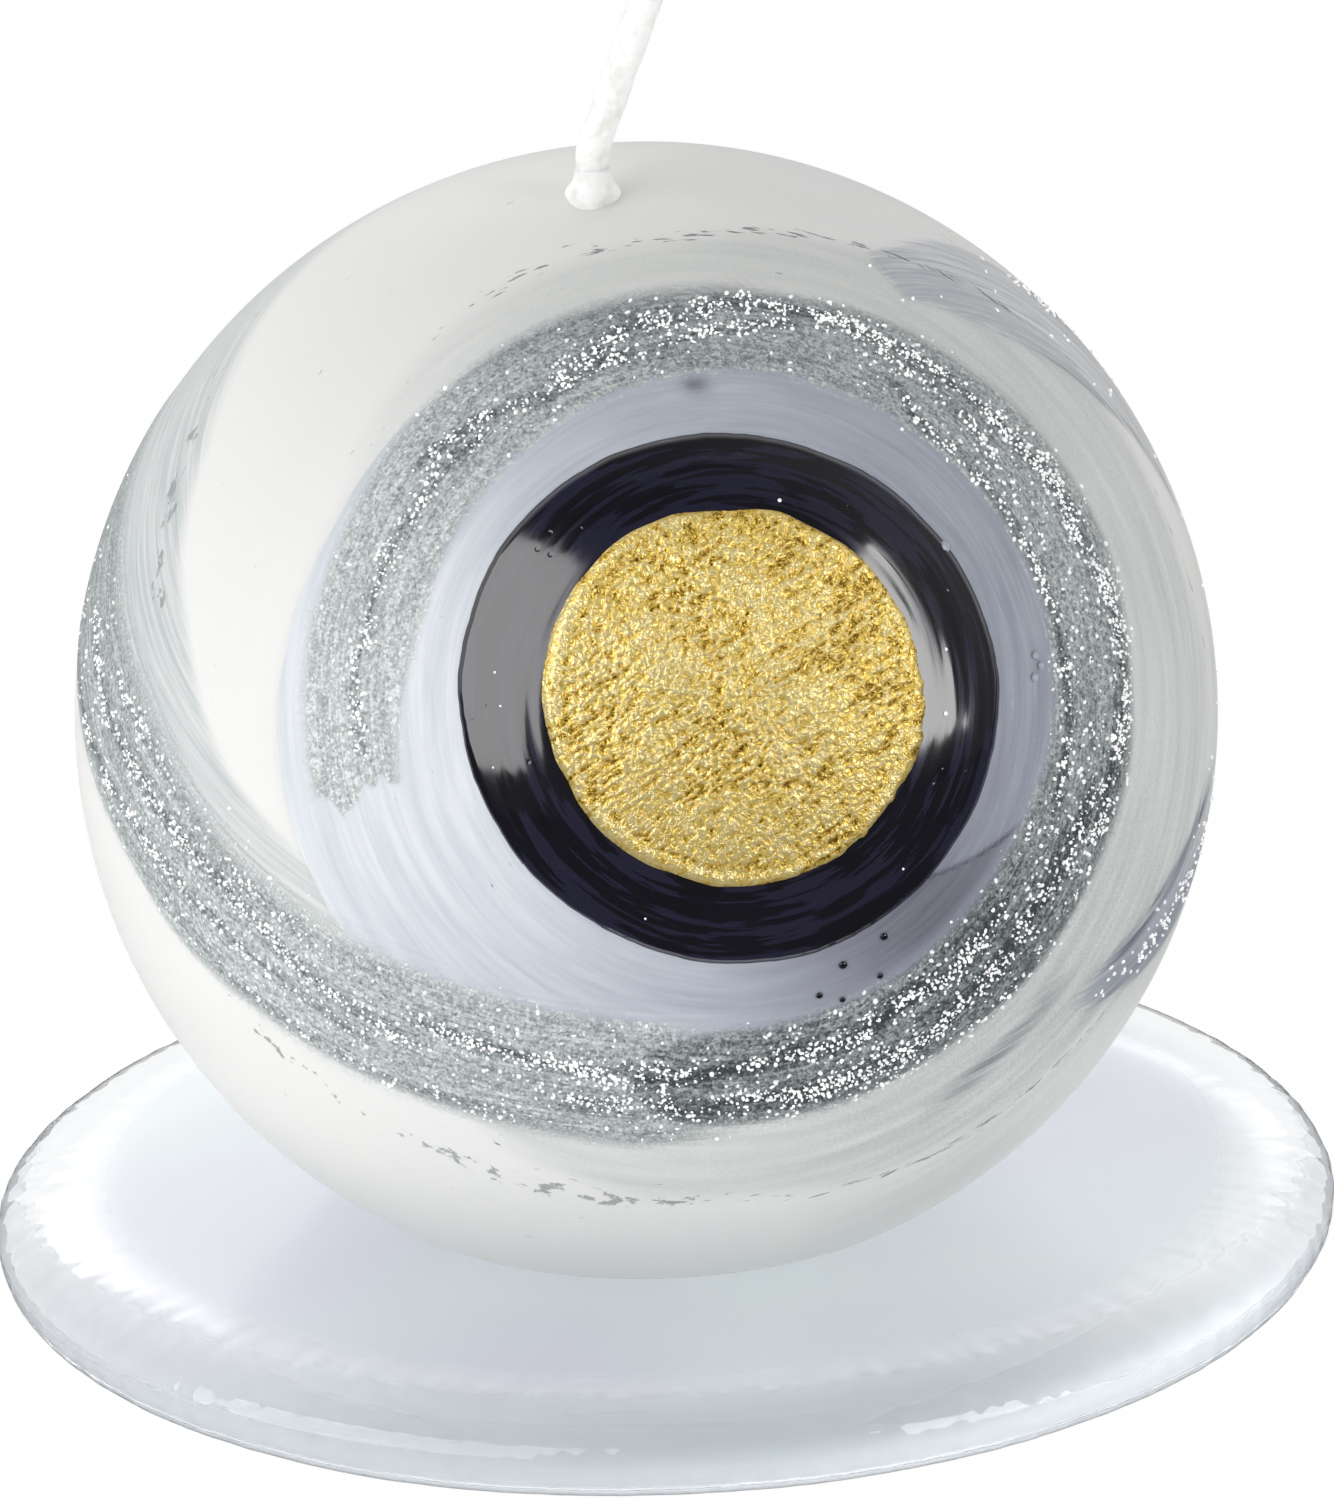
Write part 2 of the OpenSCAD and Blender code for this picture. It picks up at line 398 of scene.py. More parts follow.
sweepStroke = {
    "up": 58.0, "side": 7.8, "from": 128, "to": 276,
    "inner": ((135, 59.5), (190, 59.3), (225, 61.5), (275, 62.0)),
    "outer": ((135, 74.0), (200, 73.5), (230, 74.8), (260, 75.0), (275, 73.0)),
    "stray": ((0.6, 4, 41),), "outerSoft": (1.8, 1.6), "innerSoft": ((160, 4.0), (210, 4.5), (240, 2.0)),
    "fade": ((130, 0), (150, 0.7), (172, 1), (262, 1), (274, 0)),
    "tone": ((130, 0.5), (180, 0.6), (225, 0.68), (275, 0.5)),
    "loose": ((140, 0.0), (175, 0.03), (200, 0.06), (250, 0.07), (264, 0.0)),
    "mist": ((115, 17), (155, 17), (168, 15.5), (182, 11), (200, 7), (235, 4)),
    "haze": ((105, 0), (130, 0.6), (160, 0.85), (190, 0.85), (230, 0.55), (245, 0)), "hazeEnd": (60, 63),
    "hazeFull": 0.78,
}
greyStroke = {
    "up": 20.0, "side": 46.0, "from": -98, "to": 90,
    "inner": ((-92, 34.0), (-75, 31.5), (-50, 31.0), (-20, 32.0), (10, 32.0), (35, 29.5), (60, 29.3),
              (85, 33.0)),
    "outer": ((-92, 35.5), (-75, 38.5), (-55, 42.0), (40, 45.5), (58, 44.5), (85, 38.0)),
    "fade": ((-92, 0), (-82, 0.7), (-60, 0.8), (-33, 0.4), (8, 0.4), (25, 0.55), (79, 0.6), (82, 0)),
    "innerSoft": (0.8, 0.8), "outerSoft": (2.0, 0.8), "loose": 0.02,
}
wash = {
    "outer": ((-150, 43.0), (-110, 50.0), (-60, 53.5), (-20, 60.0), (30, 57.0), (60, 51.0), (80, 47.2),
              (120, 45.5), (150, 41.0)),
    # the wash's strength and the veil are greatest at the lower right: partly a thin grey wash, partly painted
    # shade on the ball's lower right limb
    "strength": ((-150, 0), (-125, 0.35), (-90, 0.42), (-65, 0.72), (-35, 0.8), (0, 0.55), (40, 0.55),
                 (65, 0.42), (100, 0.33), (130, 0.25), (150, 0)),
    "washAndShadeVeil": ((-85, 0), (-62, 0.45), (-30, 0.55), (0, 0.3), (20, 0)), "washAndShadeVeilEnd": (60, 72),
    "dashed": ((-150, 0), (-95, 0.7), (-60, 1.0), (-45, 0.9), (-30, 0.2), (0, 0.6), (20, 0.6), (35, 0.4),
               (55, 1.0), (75, 0.9), (115, 0.7), (135, 0)),
    "stray": ((0.7, 4, 35),), "soft": (3.5, 0.4), "dashInset": 0.8, "dashWidth": 0.8,
}
# Glaze dragged out of the dark ring: a thin film up to a slanting line, the line itself, and a dab above
drag = {"lineArc": 23, "lineTurn": -47, "slant": 3.45, "lineWidth": 1.1, "lineFrom": 22, "lineEnd": (27.5, 29),
        "film": 0.6, "filmTurn": (-105, -55), "filmSoft": (-1.5, 0.6), "filmEnd": (26.5, 29),
        "dab": 0.7, "dabArc": 28, "dabTurn": 90, "dabWidth": 1.1, "dabSpread": 2.6}
motifPole = facing(motif["up"], motif["side"])
sweepPole = facing(sweepStroke["up"], sweepStroke["side"])
greyPole = facing(greyStroke["up"], greyStroke["side"])

# Lanes where glitter lies thickest: (degrees round the pole, mm over the ball), width in mm and amount
ringLanes = (
    {"path": ((-118, 36.5), (-95, 33), (-60, 31.5), (-42, 31.5)), "width": 0.9, "amount": 1.0},
    {"path": ((-104, 37.5), (-60, 36), (-40, 34.5), (-18, 36)), "width": 1.1, "amount": 0.9},
    {"path": ((-75, 39), (-45, 39)), "width": 0.7, "amount": 0.7},
    {"path": ((-22, 31.5), (20, 31), (50, 31), (56, 33)), "width": 0.7, "amount": 0.9},
    {"path": ((-24, 38), (0, 39), (40, 37), (80, 37), (100, 34.5), (112, 32.5)), "width": 1.1, "amount": 1.0},
    {"path": ((2, 41), (24, 41)), "width": 0.5, "amount": 0.7},
    {"path": ((35, 33.5), (60, 36)), "width": 0.8, "amount": 0.7},
    {"path": ((72, 35.5), (95, 32.5)), "width": 0.6, "amount": 0.9},
    {"path": ((99, 32), (115, 31.5), (125, 33), (136, 35)), "width": 0.8, "amount": 1.0},
    {"path": ((126, 32), (150, 33), (182, 32.5)), "width": 0.75, "amount": 1.0},
)
sweepLanes = (
    {"path": ((174, 64.6), (185, 65), (212, 64.4), (222, 66), (238, 68.5)), "width": 0.9, "amount": 0.9},
    {"path": ((238, 66), (264, 66.2)), "width": 0.8, "amount": 1.0},
    {"path": ((180, 71.4), (183, 71), (196, 69), (212, 68.3), (232, 69.8)), "width": 0.7, "amount": 0.7},
    {"path": ((253, 70), (259, 70)), "width": 1.0, "amount": 1.0},
    {"path": ((186, 61), (200, 61), (224, 62.5)), "width": 0.9, "amount": 0.45},
    {"path": ((206, 72), (225, 73), (246, 73.5)), "width": 0.8, "amount": 0.4},
)
greyLanes = (
    {"path": ((-80, 34), (-60, 36), (-36, 39)), "width": 1.6, "amount": 0.6},
    {"path": ((20, 44.3), (32, 43.8), (46, 42.3)), "width": 1.6, "amount": 1.0},
)
laneSeeds = {"ring": 101, "sweep": 131, "grey": 161}
# the paint under the glitter lanes is darkened as painted shade between the grains
laneLook = {"sway": 0.5, "swayAround": 7, "start": (3, 2), "stop": (2, 3), "shadeUnderGrains": 0.3}

# Single marks of the brush, on the pole that each follows: path, width in mm, and how strongly it shows
clumps = (
    {"on": "motif", "path": ((-158, 59), (-140, 56), (-126, 53), (-105, 51), (-85, 49)), "width": 2.0,
     "shows": ((-165, 0), (-148, 0.8), (-125, 0.85), (-100, 0.95), (-86, 0.5), (-78, 0))},
    {"on": "sweep", "path": ((136, 45), (156, 46), (168, 49), (182, 53), (192, 54)), "width": 2.2,
     "shows": ((130, 0), (146, 0.6), (166, 0.95), (184, 0.9), (194, 0))},
)
streaks = (
    {"on": "grey", "path": ((-82, 33.2), (-62, 31.7), (-45, 32.8), (-32, 36)), "width": 0.9,
     "shows": ((-86, 0), (-74, 0.9), (-40, 1), (-30, 0))},
    {"on": "grey", "path": ((-84, 35), (-60, 37), (-34, 39)), "width": 2.4,
     "shows": ((-86, 0), (-76, 0.6), (-45, 0.6), (-34, 0))},
    {"on": "grey", "path": ((8, 34.5), (35, 30), (58, 29.4)), "width": 0.7,
     "shows": ((4, 0), (14, 0.5), (45, 0.5), (62, 0))},
    {"on": "grey", "path": ((20, 44.3), (32, 43.8), (46, 42.3)), "width": 1.6,
     "shows": ((16, 0), (24, 0.9), (40, 0.9), (48, 0))},
    {"on": "motif", "path": ((75, 39.6), (90, 38.1), (104, 37.4), (121, 37.4)), "width": 1.2,
     "shows": ((74, 0), (84, 0.3), (104, 0.5), (116, 0.35), (124, 0))},
    {"on": "motif", "path": ((-68, 45.5), (-42, 43.5)), "width": 1.4,
     "shows": ((-68, 0), (-60, 0.7), (-46, 0.6), (-40, 0))},
    {"on": "sweep", "path": ((150, 76), (172, 72.5), (196, 69)), "width": 0.6,
     "shows": ((145, 0), (165, 0.8), (185, 0.6), (200, 0))},
)


def laneAmount(lanes, arc, degrees, seed):
    total = np.zeros_like(arc)
    for number, lane in enumerate(lanes):
        places, arcs = zip(*lane["path"])
        sway = stray(np.radians(degrees), ((laneLook["sway"], laneLook["swayAround"], seed + number),))
        inside = between(degrees, about(places[0], laneLook["start"]), about(places[-1], laneLook["stop"]))
        lie = hump(arc - np.interp(degrees, places, arcs) - sway, lane["width"])
        total = np.maximum(total, lane["amount"] * lie * inside)
    return total


# The strongest of some marks, with each pole's mm over the ball and degrees round it
def markAmount(marked, poles):
    amounts = []
    for mark in marked:
        arc, degrees = poles[mark["on"]]
        lie = hump(arc - alongTurn(degrees, mark["path"]), mark["width"])
        amounts.append(lie * alongTurn(degrees, mark["shows"]))
    return np.max(amounts, axis=0)


def draggedGlaze(arc, around):
    past = around - drag["lineTurn"] - drag["slant"] * (arc - drag["lineArc"])
    film = drag["film"] * (1 - smoothStep(*drag["filmSoft"], past)) * smoothStep(*drag["filmTurn"], around)
    film = film * (1 - smoothStep(*drag["filmEnd"], arc))
    line = hump(past, drag["lineWidth"]) * (1 - smoothStep(*drag["lineEnd"], arc)) * (arc > drag["lineFrom"])
    dab = drag["dab"] * hump(arc - drag["dabArc"], drag["dabWidth"])
    dab = dab * hump(around - drag["dabTurn"], drag["dabSpread"])
    return np.maximum(np.maximum(film, line), dab)


# How thickly each paint lies at points of the ball: 0 bare, 1 covered
def paintLayers(points):
    arc, turn = polarOf(points, motifPole)
    around = np.degrees(turn)
    degrees = unwound(turn, ringStroke["cut"])
    edge = roundTurn(turn, motif["lavender"]) + stray(turn, motif["lavenderStray"])
    lavender = 1 - smoothStep(-motif["lavenderSoft"], motif["lavenderSoft"], arc - edge)

    inner = roundTurn(turn, ringStroke["inner"]) + stray(turn, ringStroke["innerStray"])
    outer = roundTurn(turn, ringStroke["outer"]) + stray(turn, ringStroke["outerStray"])
    past = np.radians(degrees - ringStroke["end"]) * np.sin(arc * mm / ballRadius) * ballRadius / mm
    bristles = strokeNoise(arc, np.zeros_like(arc), ringStroke["endBristle"], 1, ringStroke["endSeed"])
    frayed = past + ringStroke["endFray"] * bristles
    ring = between(arc, about(inner, ringStroke["innerSoft"]), about(outer, ringStroke["outerSoft"]))
    ring = ring * (1 - smoothStep(-ringStroke["endSoft"], ringStroke["endSoft"], frayed))
    ring = ring * smoothStep(*ringStroke["fadeIn"], degrees)
    ringLane = laneAmount(ringLanes, arc, degrees, laneSeeds["ring"])

    sweepArc, sweepTurn = polarOf(points, sweepPole)
    along = unwound(sweepTurn, 0)
    sweepLow, sweepHigh, soft, mist = (alongTurn(along, sweepStroke[key])
                                       for key in ("inner", "outer", "innerSoft", "mist"))
    swayed = sweepArc + stray(sweepTurn, sweepStroke["stray"])
    sweep = between(swayed, about(sweepLow, (soft, 0.6 * soft)), about(sweepHigh, sweepStroke["outerSoft"]))
    sweep = sweep * alongTurn(along, sweepStroke["fade"])
    sweepLane = laneAmount(sweepLanes, sweepArc, along, laneSeeds["sweep"])
    haze = smoothStep(sweepLow - mist, sweepLow - sweepStroke["hazeFull"] * mist, swayed)
    haze = haze * (1 - smoothStep(*sweepStroke["hazeEnd"], sweepArc)) * alongTurn(along, sweepStroke["haze"])

    greyArc, greyTurn = polarOf(points, greyPole)
    tilt = np.degrees(greyTurn)
    low, high = alongTurn(tilt, greyStroke["inner"]), alongTurn(tilt, greyStroke["outer"])
    grey = between(greyArc, about(low, greyStroke["innerSoft"]), about(high, greyStroke["outerSoft"]))
    grey = grey * alongTurn(tilt, greyStroke["fade"])

    rim = roundTurn(turn, wash["outer"]) + stray(turn, wash["stray"])
    # a thin grey veil at the lower right: partly wash, partly painted shade on the limb
    washAndShadeVeil = alongTurn(around, wash["washAndShadeVeil"]) * (1 - smoothStep(*wash["washAndShadeVeilEnd"], arc))
    washed = (1 - smoothStep(*about(rim, wash["soft"]), arc)) * roundTurn(turn, wash["strength"])
    dash = hump(arc - rim + wash["dashInset"], wash["dashWidth"]) * roundTurn(turn, wash["dashed"])

    poles = {"motif": (arc, around), "sweep": (sweepArc, along), "grey": (greyArc, tilt)}
    # ring and sweep tones drop under the glitter lanes: painted shade between the grains
    ringTone = roundTurn(turn, ringStroke["tone"]) - laneLook["shadeUnderGrains"] * ringLane
    sweepTone = alongTurn(along, sweepStroke["tone"]) - laneLook["shadeUnderGrains"] * sweepLane
    onSweep = sweep > ring
    onGrey = (grey > 0) & ~onSweep
    strokeArc = np.where(onGrey, greyArc, sweepArc)
    strokeTurn = np.where(onGrey, greyTurn, sweepTurn)
    return {
        "brush": np.stack([arc, np.cos(turn), np.sin(turn)], -1),
        "strokeBrush": np.stack([strokeArc, np.cos(strokeTurn), np.sin(strokeTurn)], -1),
        "layers": np.stack([lavender, np.maximum(ring, sweep), np.maximum(washed, washAndShadeVeil)], -1),
        "accents": np.stack([dash, grey, draggedGlaze(arc, around)], -1),
        "marks": np.stack([markAmount(clumps, poles), haze, markAmount(streaks, poles)], -1),
        "tones": np.stack([roundTurn(turn, motif["lavenderTone"]), np.where(onSweep, sweepTone, ringTone),
                           np.where(onSweep | onGrey, 1.0, 0.0)], -1),
    }


def storePaint(mesh, points):
    for name, values in paintLayers(points).items():
        storeField(mesh, name, values)


# Colours of the hand-painted skin, from the wax up; widths of bristle lines, grit and clouds in mm
paintLook = {
    "wax": "#E8E9E8", "waxWarm": "#EAEAE6", "wash": "#A9B0AF", "haze": "#B6BDBF", "dash": "#6C7373",
    "grey": "#A4A9B3", "smear": "#3B3A48", "streak": "#62636F", "clump": "#8F9693",
    "lavender": ((0.0, "#757985"), (0.3, "#9599A6"), (0.6, "#B5BAC5"), (0.85, "#CED3DA"), (1.0, "#DEE2E7")),
    "silver": ((0.0, "#3A4042"), (0.25, "#757C7E"), (0.5, "#A3AAAA"), (0.75, "#C6CCCC"), (1.0, "#E8ECEC")),
    "line": 0.38, "band": 1.4, "dashLine": 0.34, "grit": 0.32, "speck": 0.24, "fleck": 1.3, "cloud": 22,
    "waxRough": 0.48, "silverRough": 0.45, "ior": 1.45, "relief": 0.1,
}
coatOrder = ("haze", "wash", "grey", "lavender", "smear", "silver", "streak", "dash", "clump")


# The painted skin: colour, relief and gloss of all the layers where they meet
def paintedSkin(name, depth=None):
    material, tree, skin = startMaterial(name, {"IOR": paintLook["ior"], **(depth or {})})
    fields = {}
    for key in ("layers", "accents", "marks", "tones"):
        source = addNode(tree, "Attribute", attribute_name=key)
        fields[key] = addNode(tree, "SeparateXYZ", [source.outputs["Vector"]]).outputs
    lavender, silver, washed = fields["layers"]
    dash, grey, smear = fields["accents"]
    clump, haze, streak = fields["marks"]
    lavenderTone, silverTone, onStroke = fields["tones"]
    brush, strokeBrush = (addNode(tree, "Attribute", attribute_name=key).outputs["Vector"]
                          for key in ("brush", "strokeBrush"))
    place = addNode(tree, "TexCoord").outputs["Object"]

    # bristle lines along the strokes, fine and broad, and flecks where a dry brush lifted
    fine = {"Detail": 4, "Roughness": 0.6, "Distortion": 0.3}
    ringLines = bristleLines(tree, brush, paintLook["line"], 3.5, fine)
    strokeLines = bristleLines(tree, strokeBrush, paintLook["line"], 3.5, fine)
    lines = addNode(tree, "Mix", {0: onStroke, 2: ringLines, 3: strokeLines})
    bands = bristleLines(tree, brush, paintLook["band"], 2.2, {"Detail": 2})
    dashFleck = bristleLines(tree, brush, paintLook["dashLine"], 18, {"Detail": 3})
    clumpFleck = bristleLines(tree, brush, paintLook["fleck"], 22, {"Detail": 5, "Roughness": 0.65})
    # metal grit: flat grains that each take their own tone, and finer specks between them
    grit = addNode(tree, "TexVoronoi", {"Vector": place, "Scale": 1 / (paintLook["grit"] * mm)})
    grain, grainTop = addNode(tree, "SeparateColor", [grit.outputs["Color"]]).outputs[:2]
    speck = addNode(tree, "TexNoise", {"Vector": place, "Scale": 1 / (paintLook["speck"] * mm), "Detail": 2})

    # what each coat and tone starts from, and what is added to it by weight
    uneven = addNode(tree, "MapRange", [bands, 0.25, 0.75, 0.1, 0.75])
    levels = {
        "wash": (uneven, [(speck, 0.9)]),
        "grey": (grey, [(strokeLines, 0.9)]),
        "lavender": (lavender, [(lines, 0.8)]),
        "lavenderTone": (lavenderTone, [(lines, 0.32), (bands, 0.35)]),
        "silver": (silver, [(lines, 1.0), (grain, 0.35)]),
        "silverTone": (silverTone, [(lines, 0.8), (grain, 0.34), (speck, 0.9)]),
        "dash": (dashFleck, [(dash, 0.24)]),
        "clump": (clumpFleck, [(clump, 0.3)]),
    }
    for key, (level, parts) in levels.items():
        for source, weight in parts:
            level = addNode(tree, "Math", [source, weight, level], operation="MULTIPLY_ADD")
        levels[key] = level
    # coats with an edge: dry bristles leave the strokes, flecks are crisp
    cover = {}
    for key, ease, span in (("grey", "SMOOTHSTEP", (0.75, 1.25, 0.0, 0.9)),
                            ("lavender", "SMOOTHSTEP", (0.75, 1.05, 0.0, 1.0)),
                            ("silver", "SMOOTHSTEP", (0.85, 1.5, 0.0, 1.0)),
                            ("dash", "LINEAR", (0.74, 0.79, 0.0, 0.85)),
                            ("clump", "LINEAR", (0.8, 0.84, 0.0, 0.8))):
        cover[key] = addNode(tree, "MapRange", [levels[key], *span], interpolation_type=ease)
    # coats dragged thin: blue-grey haze, glaze out of the dark ring, streaks where bristles pressed hard
    drags = {"wash": (washed, levels["wash"])}
    for key, field, bristles, span in (("haze", haze, strokeLines, (0.35, 0.65, 0.45, 1.15)),
                                       ("smear", smear, lines, (0.35, 0.65, 0.5, 1.0)),
                                       ("streak", streak, strokeLines, (0.4, 0.6, 0.25, 1.0))):
        drags[key] = (field, addNode(tree, "MapRange", [bristles, *span]))
    for key, pair in drags.items():
        cover[key] = addNode(tree, "Math", pair, operation="MULTIPLY", use_clamp=True)
    # tones that run along the lines, from knots that hold painted highlight on the left and painted shade at the
    # lower right
    paint = {}
    for key, middle in (("lavender", 0.335), ("silver", 1.07)):
        tone = addNode(tree, "Math", [levels[key + "Tone"], middle], operation="SUBTRACT")
        paint[key] = addNode(tree, "ValToRGB", [tone], stops=paintLook[key])

    # bare wax, a little warmer in clouds, and the coats over it
    clouds = addNode(tree, "TexNoise", {"Vector": place, "Scale": 1 / (paintLook["cloud"] * mm), "Detail": 3})
    colour = addNode(tree, "Mix", {0: clouds, 6: linear(paintLook["wax"]), 7: linear(paintLook["waxWarm"])},
                     data_type="RGBA").outputs[2]
    for key in coatOrder:
        top = paint[key] if key in paint else linear(paintLook[key])
        colour = addNode(tree, "Mix", {0: cover[key], 6: colour, 7: top}, data_type="RGBA").outputs[2]

    # satin wax and grit, with relief in the grit, the lines and the flecks
    shine = addNode(tree, "MapRange", [cover["silver"], 0.0, 1.0, paintLook["waxRough"], paintLook["silverRough"]])
    rough = addNode(tree, "Math", [grainTop, 0.9, lines], operation="MULTIPLY_ADD")
    height = addNode(tree, "Math", [rough, cover["silver"]], operation="MULTIPLY")
    paintLines = addNode(tree, "Math", [cover["lavender"], lines], operation="MULTIPLY")
    height = addNode(tree, "Math", [paintLines, 0.35, height], operation="MULTIPLY_ADD")
    flecks = addNode(tree, "Math", [cover["dash"], cover["clump"]], operation="MAXIMUM")
    height = addNode(tree, "Math", [flecks, 0.5, height], operation="MULTIPLY_ADD")
    bump = addNode(tree, "Bump", {"Height": height, "Strength": 0.55, "Distance": paintLook["relief"] * mm})
    drive(tree, skin, {"Base Color": colour, "Roughness": shine, "Normal": bump})
    return material


# A closed coat of paint on the ball between two edges that may change round the turn.
# rise gives its height above the ball in mm, flakes how thickly glitter lies on it.
def brushedCoat(name, pole, edges, span, grid, rise, base, flakes=None):
    rows, columns, lowerRows = grid
    closed = span is None
    turns = np.linspace(*(span or (-math.pi, math.pi)), columns, endpoint=not closed)
    points, glitter, faces = [], [], []
    for count, upper in ((rows, True), (lowerRows, False)):
        share, turn = np.meshgrid(np.linspace(0, 1, count), turns, indexing="ij")
        inner, outer = edges(turn)
        arc = inner + share * (outer - inner)
        lift = rise(arc, turn, share) if upper else np.full(arc.shape, base)
        first = sum(len(p) for p in points)
        points.append(onBall(pole, arc, turn, lift).reshape(-1, 3))
        glitter.append((flakes(arc, turn, share) if upper and flakes else np.zeros(arc.shape)).ravel())
        quads = gridFaces(first, count, columns, closed)
        faces += (quads if upper else quads[:, ::-1]).tolist()
    lower = rows * columns
    last = lower + (lowerRows - 1) * columns
    for j in range(columns if closed else columns - 1):
        k = (j + 1) % columns
        faces.append([j, k, lower + k, lower + j])
        faces.append([lower - columns + k, lower - columns + j, last + j, last + k])
    if not closed:
        for j in (0, columns - 1):
            faces.append([i * columns + j for i in range(rows)]
                         + [lower + i * columns + j for i in reversed(range(lowerRows))])
    points = np.concatenate(points)
    mesh = bpy.data.meshes.new(name)
    mesh.from_pydata(points.tolist(), [], faces)
    storePaint(mesh, points)
    storeField(mesh, "flakes", np.concatenate(glitter))
    tidyMesh(mesh)
    return mesh


# Polished dipped paraffin: light goes a little way in, satin skin
waxDepth = {"Subsurface Weight": 0.3, "Subsurface Radius": (1, 0.9, 0.8), "Subsurface Scale": 0.003}
wax = paintedSkin("dippedParaffin", waxDepth)
ballShape = {"rows": 210, "columns": 440, "footRows": 8, "footRound": 1.2, "clear": 0.02}


def makeBall():
    footHalf = math.acos((ballLow.z - ballCentre.z) / ballRadius)
    profile = [(ballRadius * math.sin(a), ballRadius * math.cos(a))
               for a in np.linspace(0, footHalf, ballShape["rows"])]
    footRadius, foot = profile[-1]
    inset = ballShape["footRound"] * mm
    # the foot's edge is rounded over in two steps
    profile = [p for p in profile if p[1] > foot + inset * 0.6]
    profile.append((footRadius - inset * 0.1, foot + inset * 0.15))
    profile += [((footRadius - inset * 0.5) * share, foot + ballShape["clear"] * mm)
                for share in np.linspace(1, 0, ballShape["footRows"])]
    columns = ballShape["columns"]
    turn = fullTurn(columns)
    ring = np.array(profile)
    points = np.stack([ring[:, :1] * np.cos(turn), ring[:, :1] * np.sin(turn),
                       np.repeat(ring[:, 1:], columns, 1)], -1).reshape(-1, 3) + np.array(ballCentre)
    mesh = turnedMesh("waxBall", points, len(ring), columns)
    storePaint(mesh, points)
    tidyMesh(mesh)
    piece = makeObject("waxBall", mesh, wax)
    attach(piece, "candle")
    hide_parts("dipped_coat", "wax_core", "base_plug")


makeBall()
print("wax ball made")

# Craft paints laid on with a stiff brush: lavender satin, silver with metal grit, thin grey
lavenderPaint = paintedSkin("lavenderPaint")
silverPaint = paintedSkin("silverBrushPaint")
greyPaint = paintedSkin("greyBrushPaint")


# Height of a coat that dips under what carries it where its layer is thin
def coatRise(pole, arc, turn, layer, part, low, high):
    points = onBall(pole, arc, turn, np.zeros_like(arc))
    return low + (high - low) * smoothStep(0.3, 0.7, paintLayers(points)[layer][..., part])


# Heights above the ball and margins past the paint's edges in mm, and rows, columns and lower rows
lavenderShape = {"low": -0.03, "high": 0.05, "base": -0.05, "tuck": 4, "spill": 1.5, "grid": (60, 420, 5)}


def makeLavender():
    def edges(turn):
        return (roundTurn(turn, motif["dark"]) - lavenderShape["tuck"],
                roundTurn(turn, motif["lavender"]) + lavenderShape["spill"])

    def rise(arc, turn, share):
        fall = smoothStep(0.97, 1, share)
        low, high = lavenderShape["low"], lavenderShape["high"]
        return coatRise(motifPole, arc, turn, "layers", 0, low, high) * (1 - fall) + low * fall

    mesh = brushedCoat("lavenderCoat", motifPole, edges, None, lavenderShape["grid"], rise, lavenderShape["base"])
    piece = makeObject("lavenderCoat", mesh, lavenderPaint)
    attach(piece, "candle")
    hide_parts("lavender_coat")


makeLavender()
print("lavender coat made")


# Blue-black lacquer: wet gloss that mirrors the softboxes, brush streaks under the shine, pinholes
glazeLook = {"tones": ((0.62, "#05040B"), (0.95, "#080713"), (1.22, "#100F20"), (1.4, "#1D1C30")),
             "line": 0.5, "band": 1 / 0.6, "pinhole": 2.4, "relief": 0.04,
             "dry": ((50, 0), (78, 1), (112, 1), (135, 0)), "dryArc": 18.4, "dryWidth": 1.2}
glazeShape = {"height": 0.42, "ridge": 0.012, "base": 0.08, "tuck": 3, "grid": (54, 640, 4),
              "stray": ((0.2, 1.3, 11), (0.12, 5, 12), (0.04, 26, 14))}


def glazeMaterial():
    material, tree, skin = startMaterial("darkLacquer", {"Roughness": 0.1, "IOR": 1.92})
    brush = addNode(tree, "Attribute", attribute_name="brush").outputs["Vector"]
    dry = addNode(tree, "Attribute", attribute_name="flakes").outputs["Fac"]
    place = addNode(tree, "TexCoord").outputs["Object"]
    lines = bristleLines(tree, brush, glazeLook["line"], 2.5, {"Detail": 2, "Roughness": 0.5})
    bands = bristleLines(tree, brush, glazeLook["band"], 2, {"Detail": 2})
    level = addNode(tree, "Math", [bands, 0.9, lines], operation="MULTIPLY_ADD")
    level = addNode(tree, "Math", [dry, 0.16, level], operation="MULTIPLY_ADD")
    tone = addNode(tree, "ValToRGB", [level], stops=glazeLook["tones"])
    gloss = addNode(tree, "MapRange", [lines, 0.3, 0.75, 0.06, 0.14])
    holes = addNode(tree, "TexVoronoi", {"Vector": place, "Scale": 1 / (glazeLook["pinhole"] * mm)})
    pit = addNode(tree, "MapRange", [holes.outputs["Distance"], 0.07, 0.12, -2.5, 0.0],
                  interpolation_type="SMOOTHSTEP")
    height = addNode(tree, "Math", [lines, 0.6, pit], operation="MULTIPLY_ADD")
    bump = addNode(tree, "Bump", {"Height": height, "Strength": 0.12, "Distance": glazeLook["relief"] * mm})
    drive(tree, skin, {"Base Color": tone, "Roughness": gloss, "Normal": bump})
    return material


lacquer = glazeMaterial()


def makeGlaze():
    def edges(turn):
        outer = roundTurn(turn, motif["dark"]) + stray(turn, glazeShape["stray"])
        return roundTurn(turn, motif["gold"]) - glazeShape["tuck"], outer

    def rise(arc, turn, share):
        lines = strokeNoise(arc, turn, 0.7, 2.0, 13) + strokeNoise(arc, turn, 2.2, 2.5, 15)
        fall = smoothStep(0.94, 1.0, share)
        return (glazeShape["height"] + glazeShape["ridge"] * lines) * (1 - fall) + glazeShape["base"] * fall

    def dryStreaks(arc, turn, share):
        return hump(arc - glazeLook["dryArc"], glazeLook["dryWidth"]) * roundTurn(turn, glazeLook["dry"])

    mesh = brushedCoat("darkGlaze", motifPole, edges, None, glazeShape["grid"], rise, glazeShape["base"],
                       dryStreaks)
    piece = makeObject("darkGlaze", mesh, lacquer)
    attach(piece, "candle")
    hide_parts("dark_glaze")


makeGlaze()
print("dark glaze made")
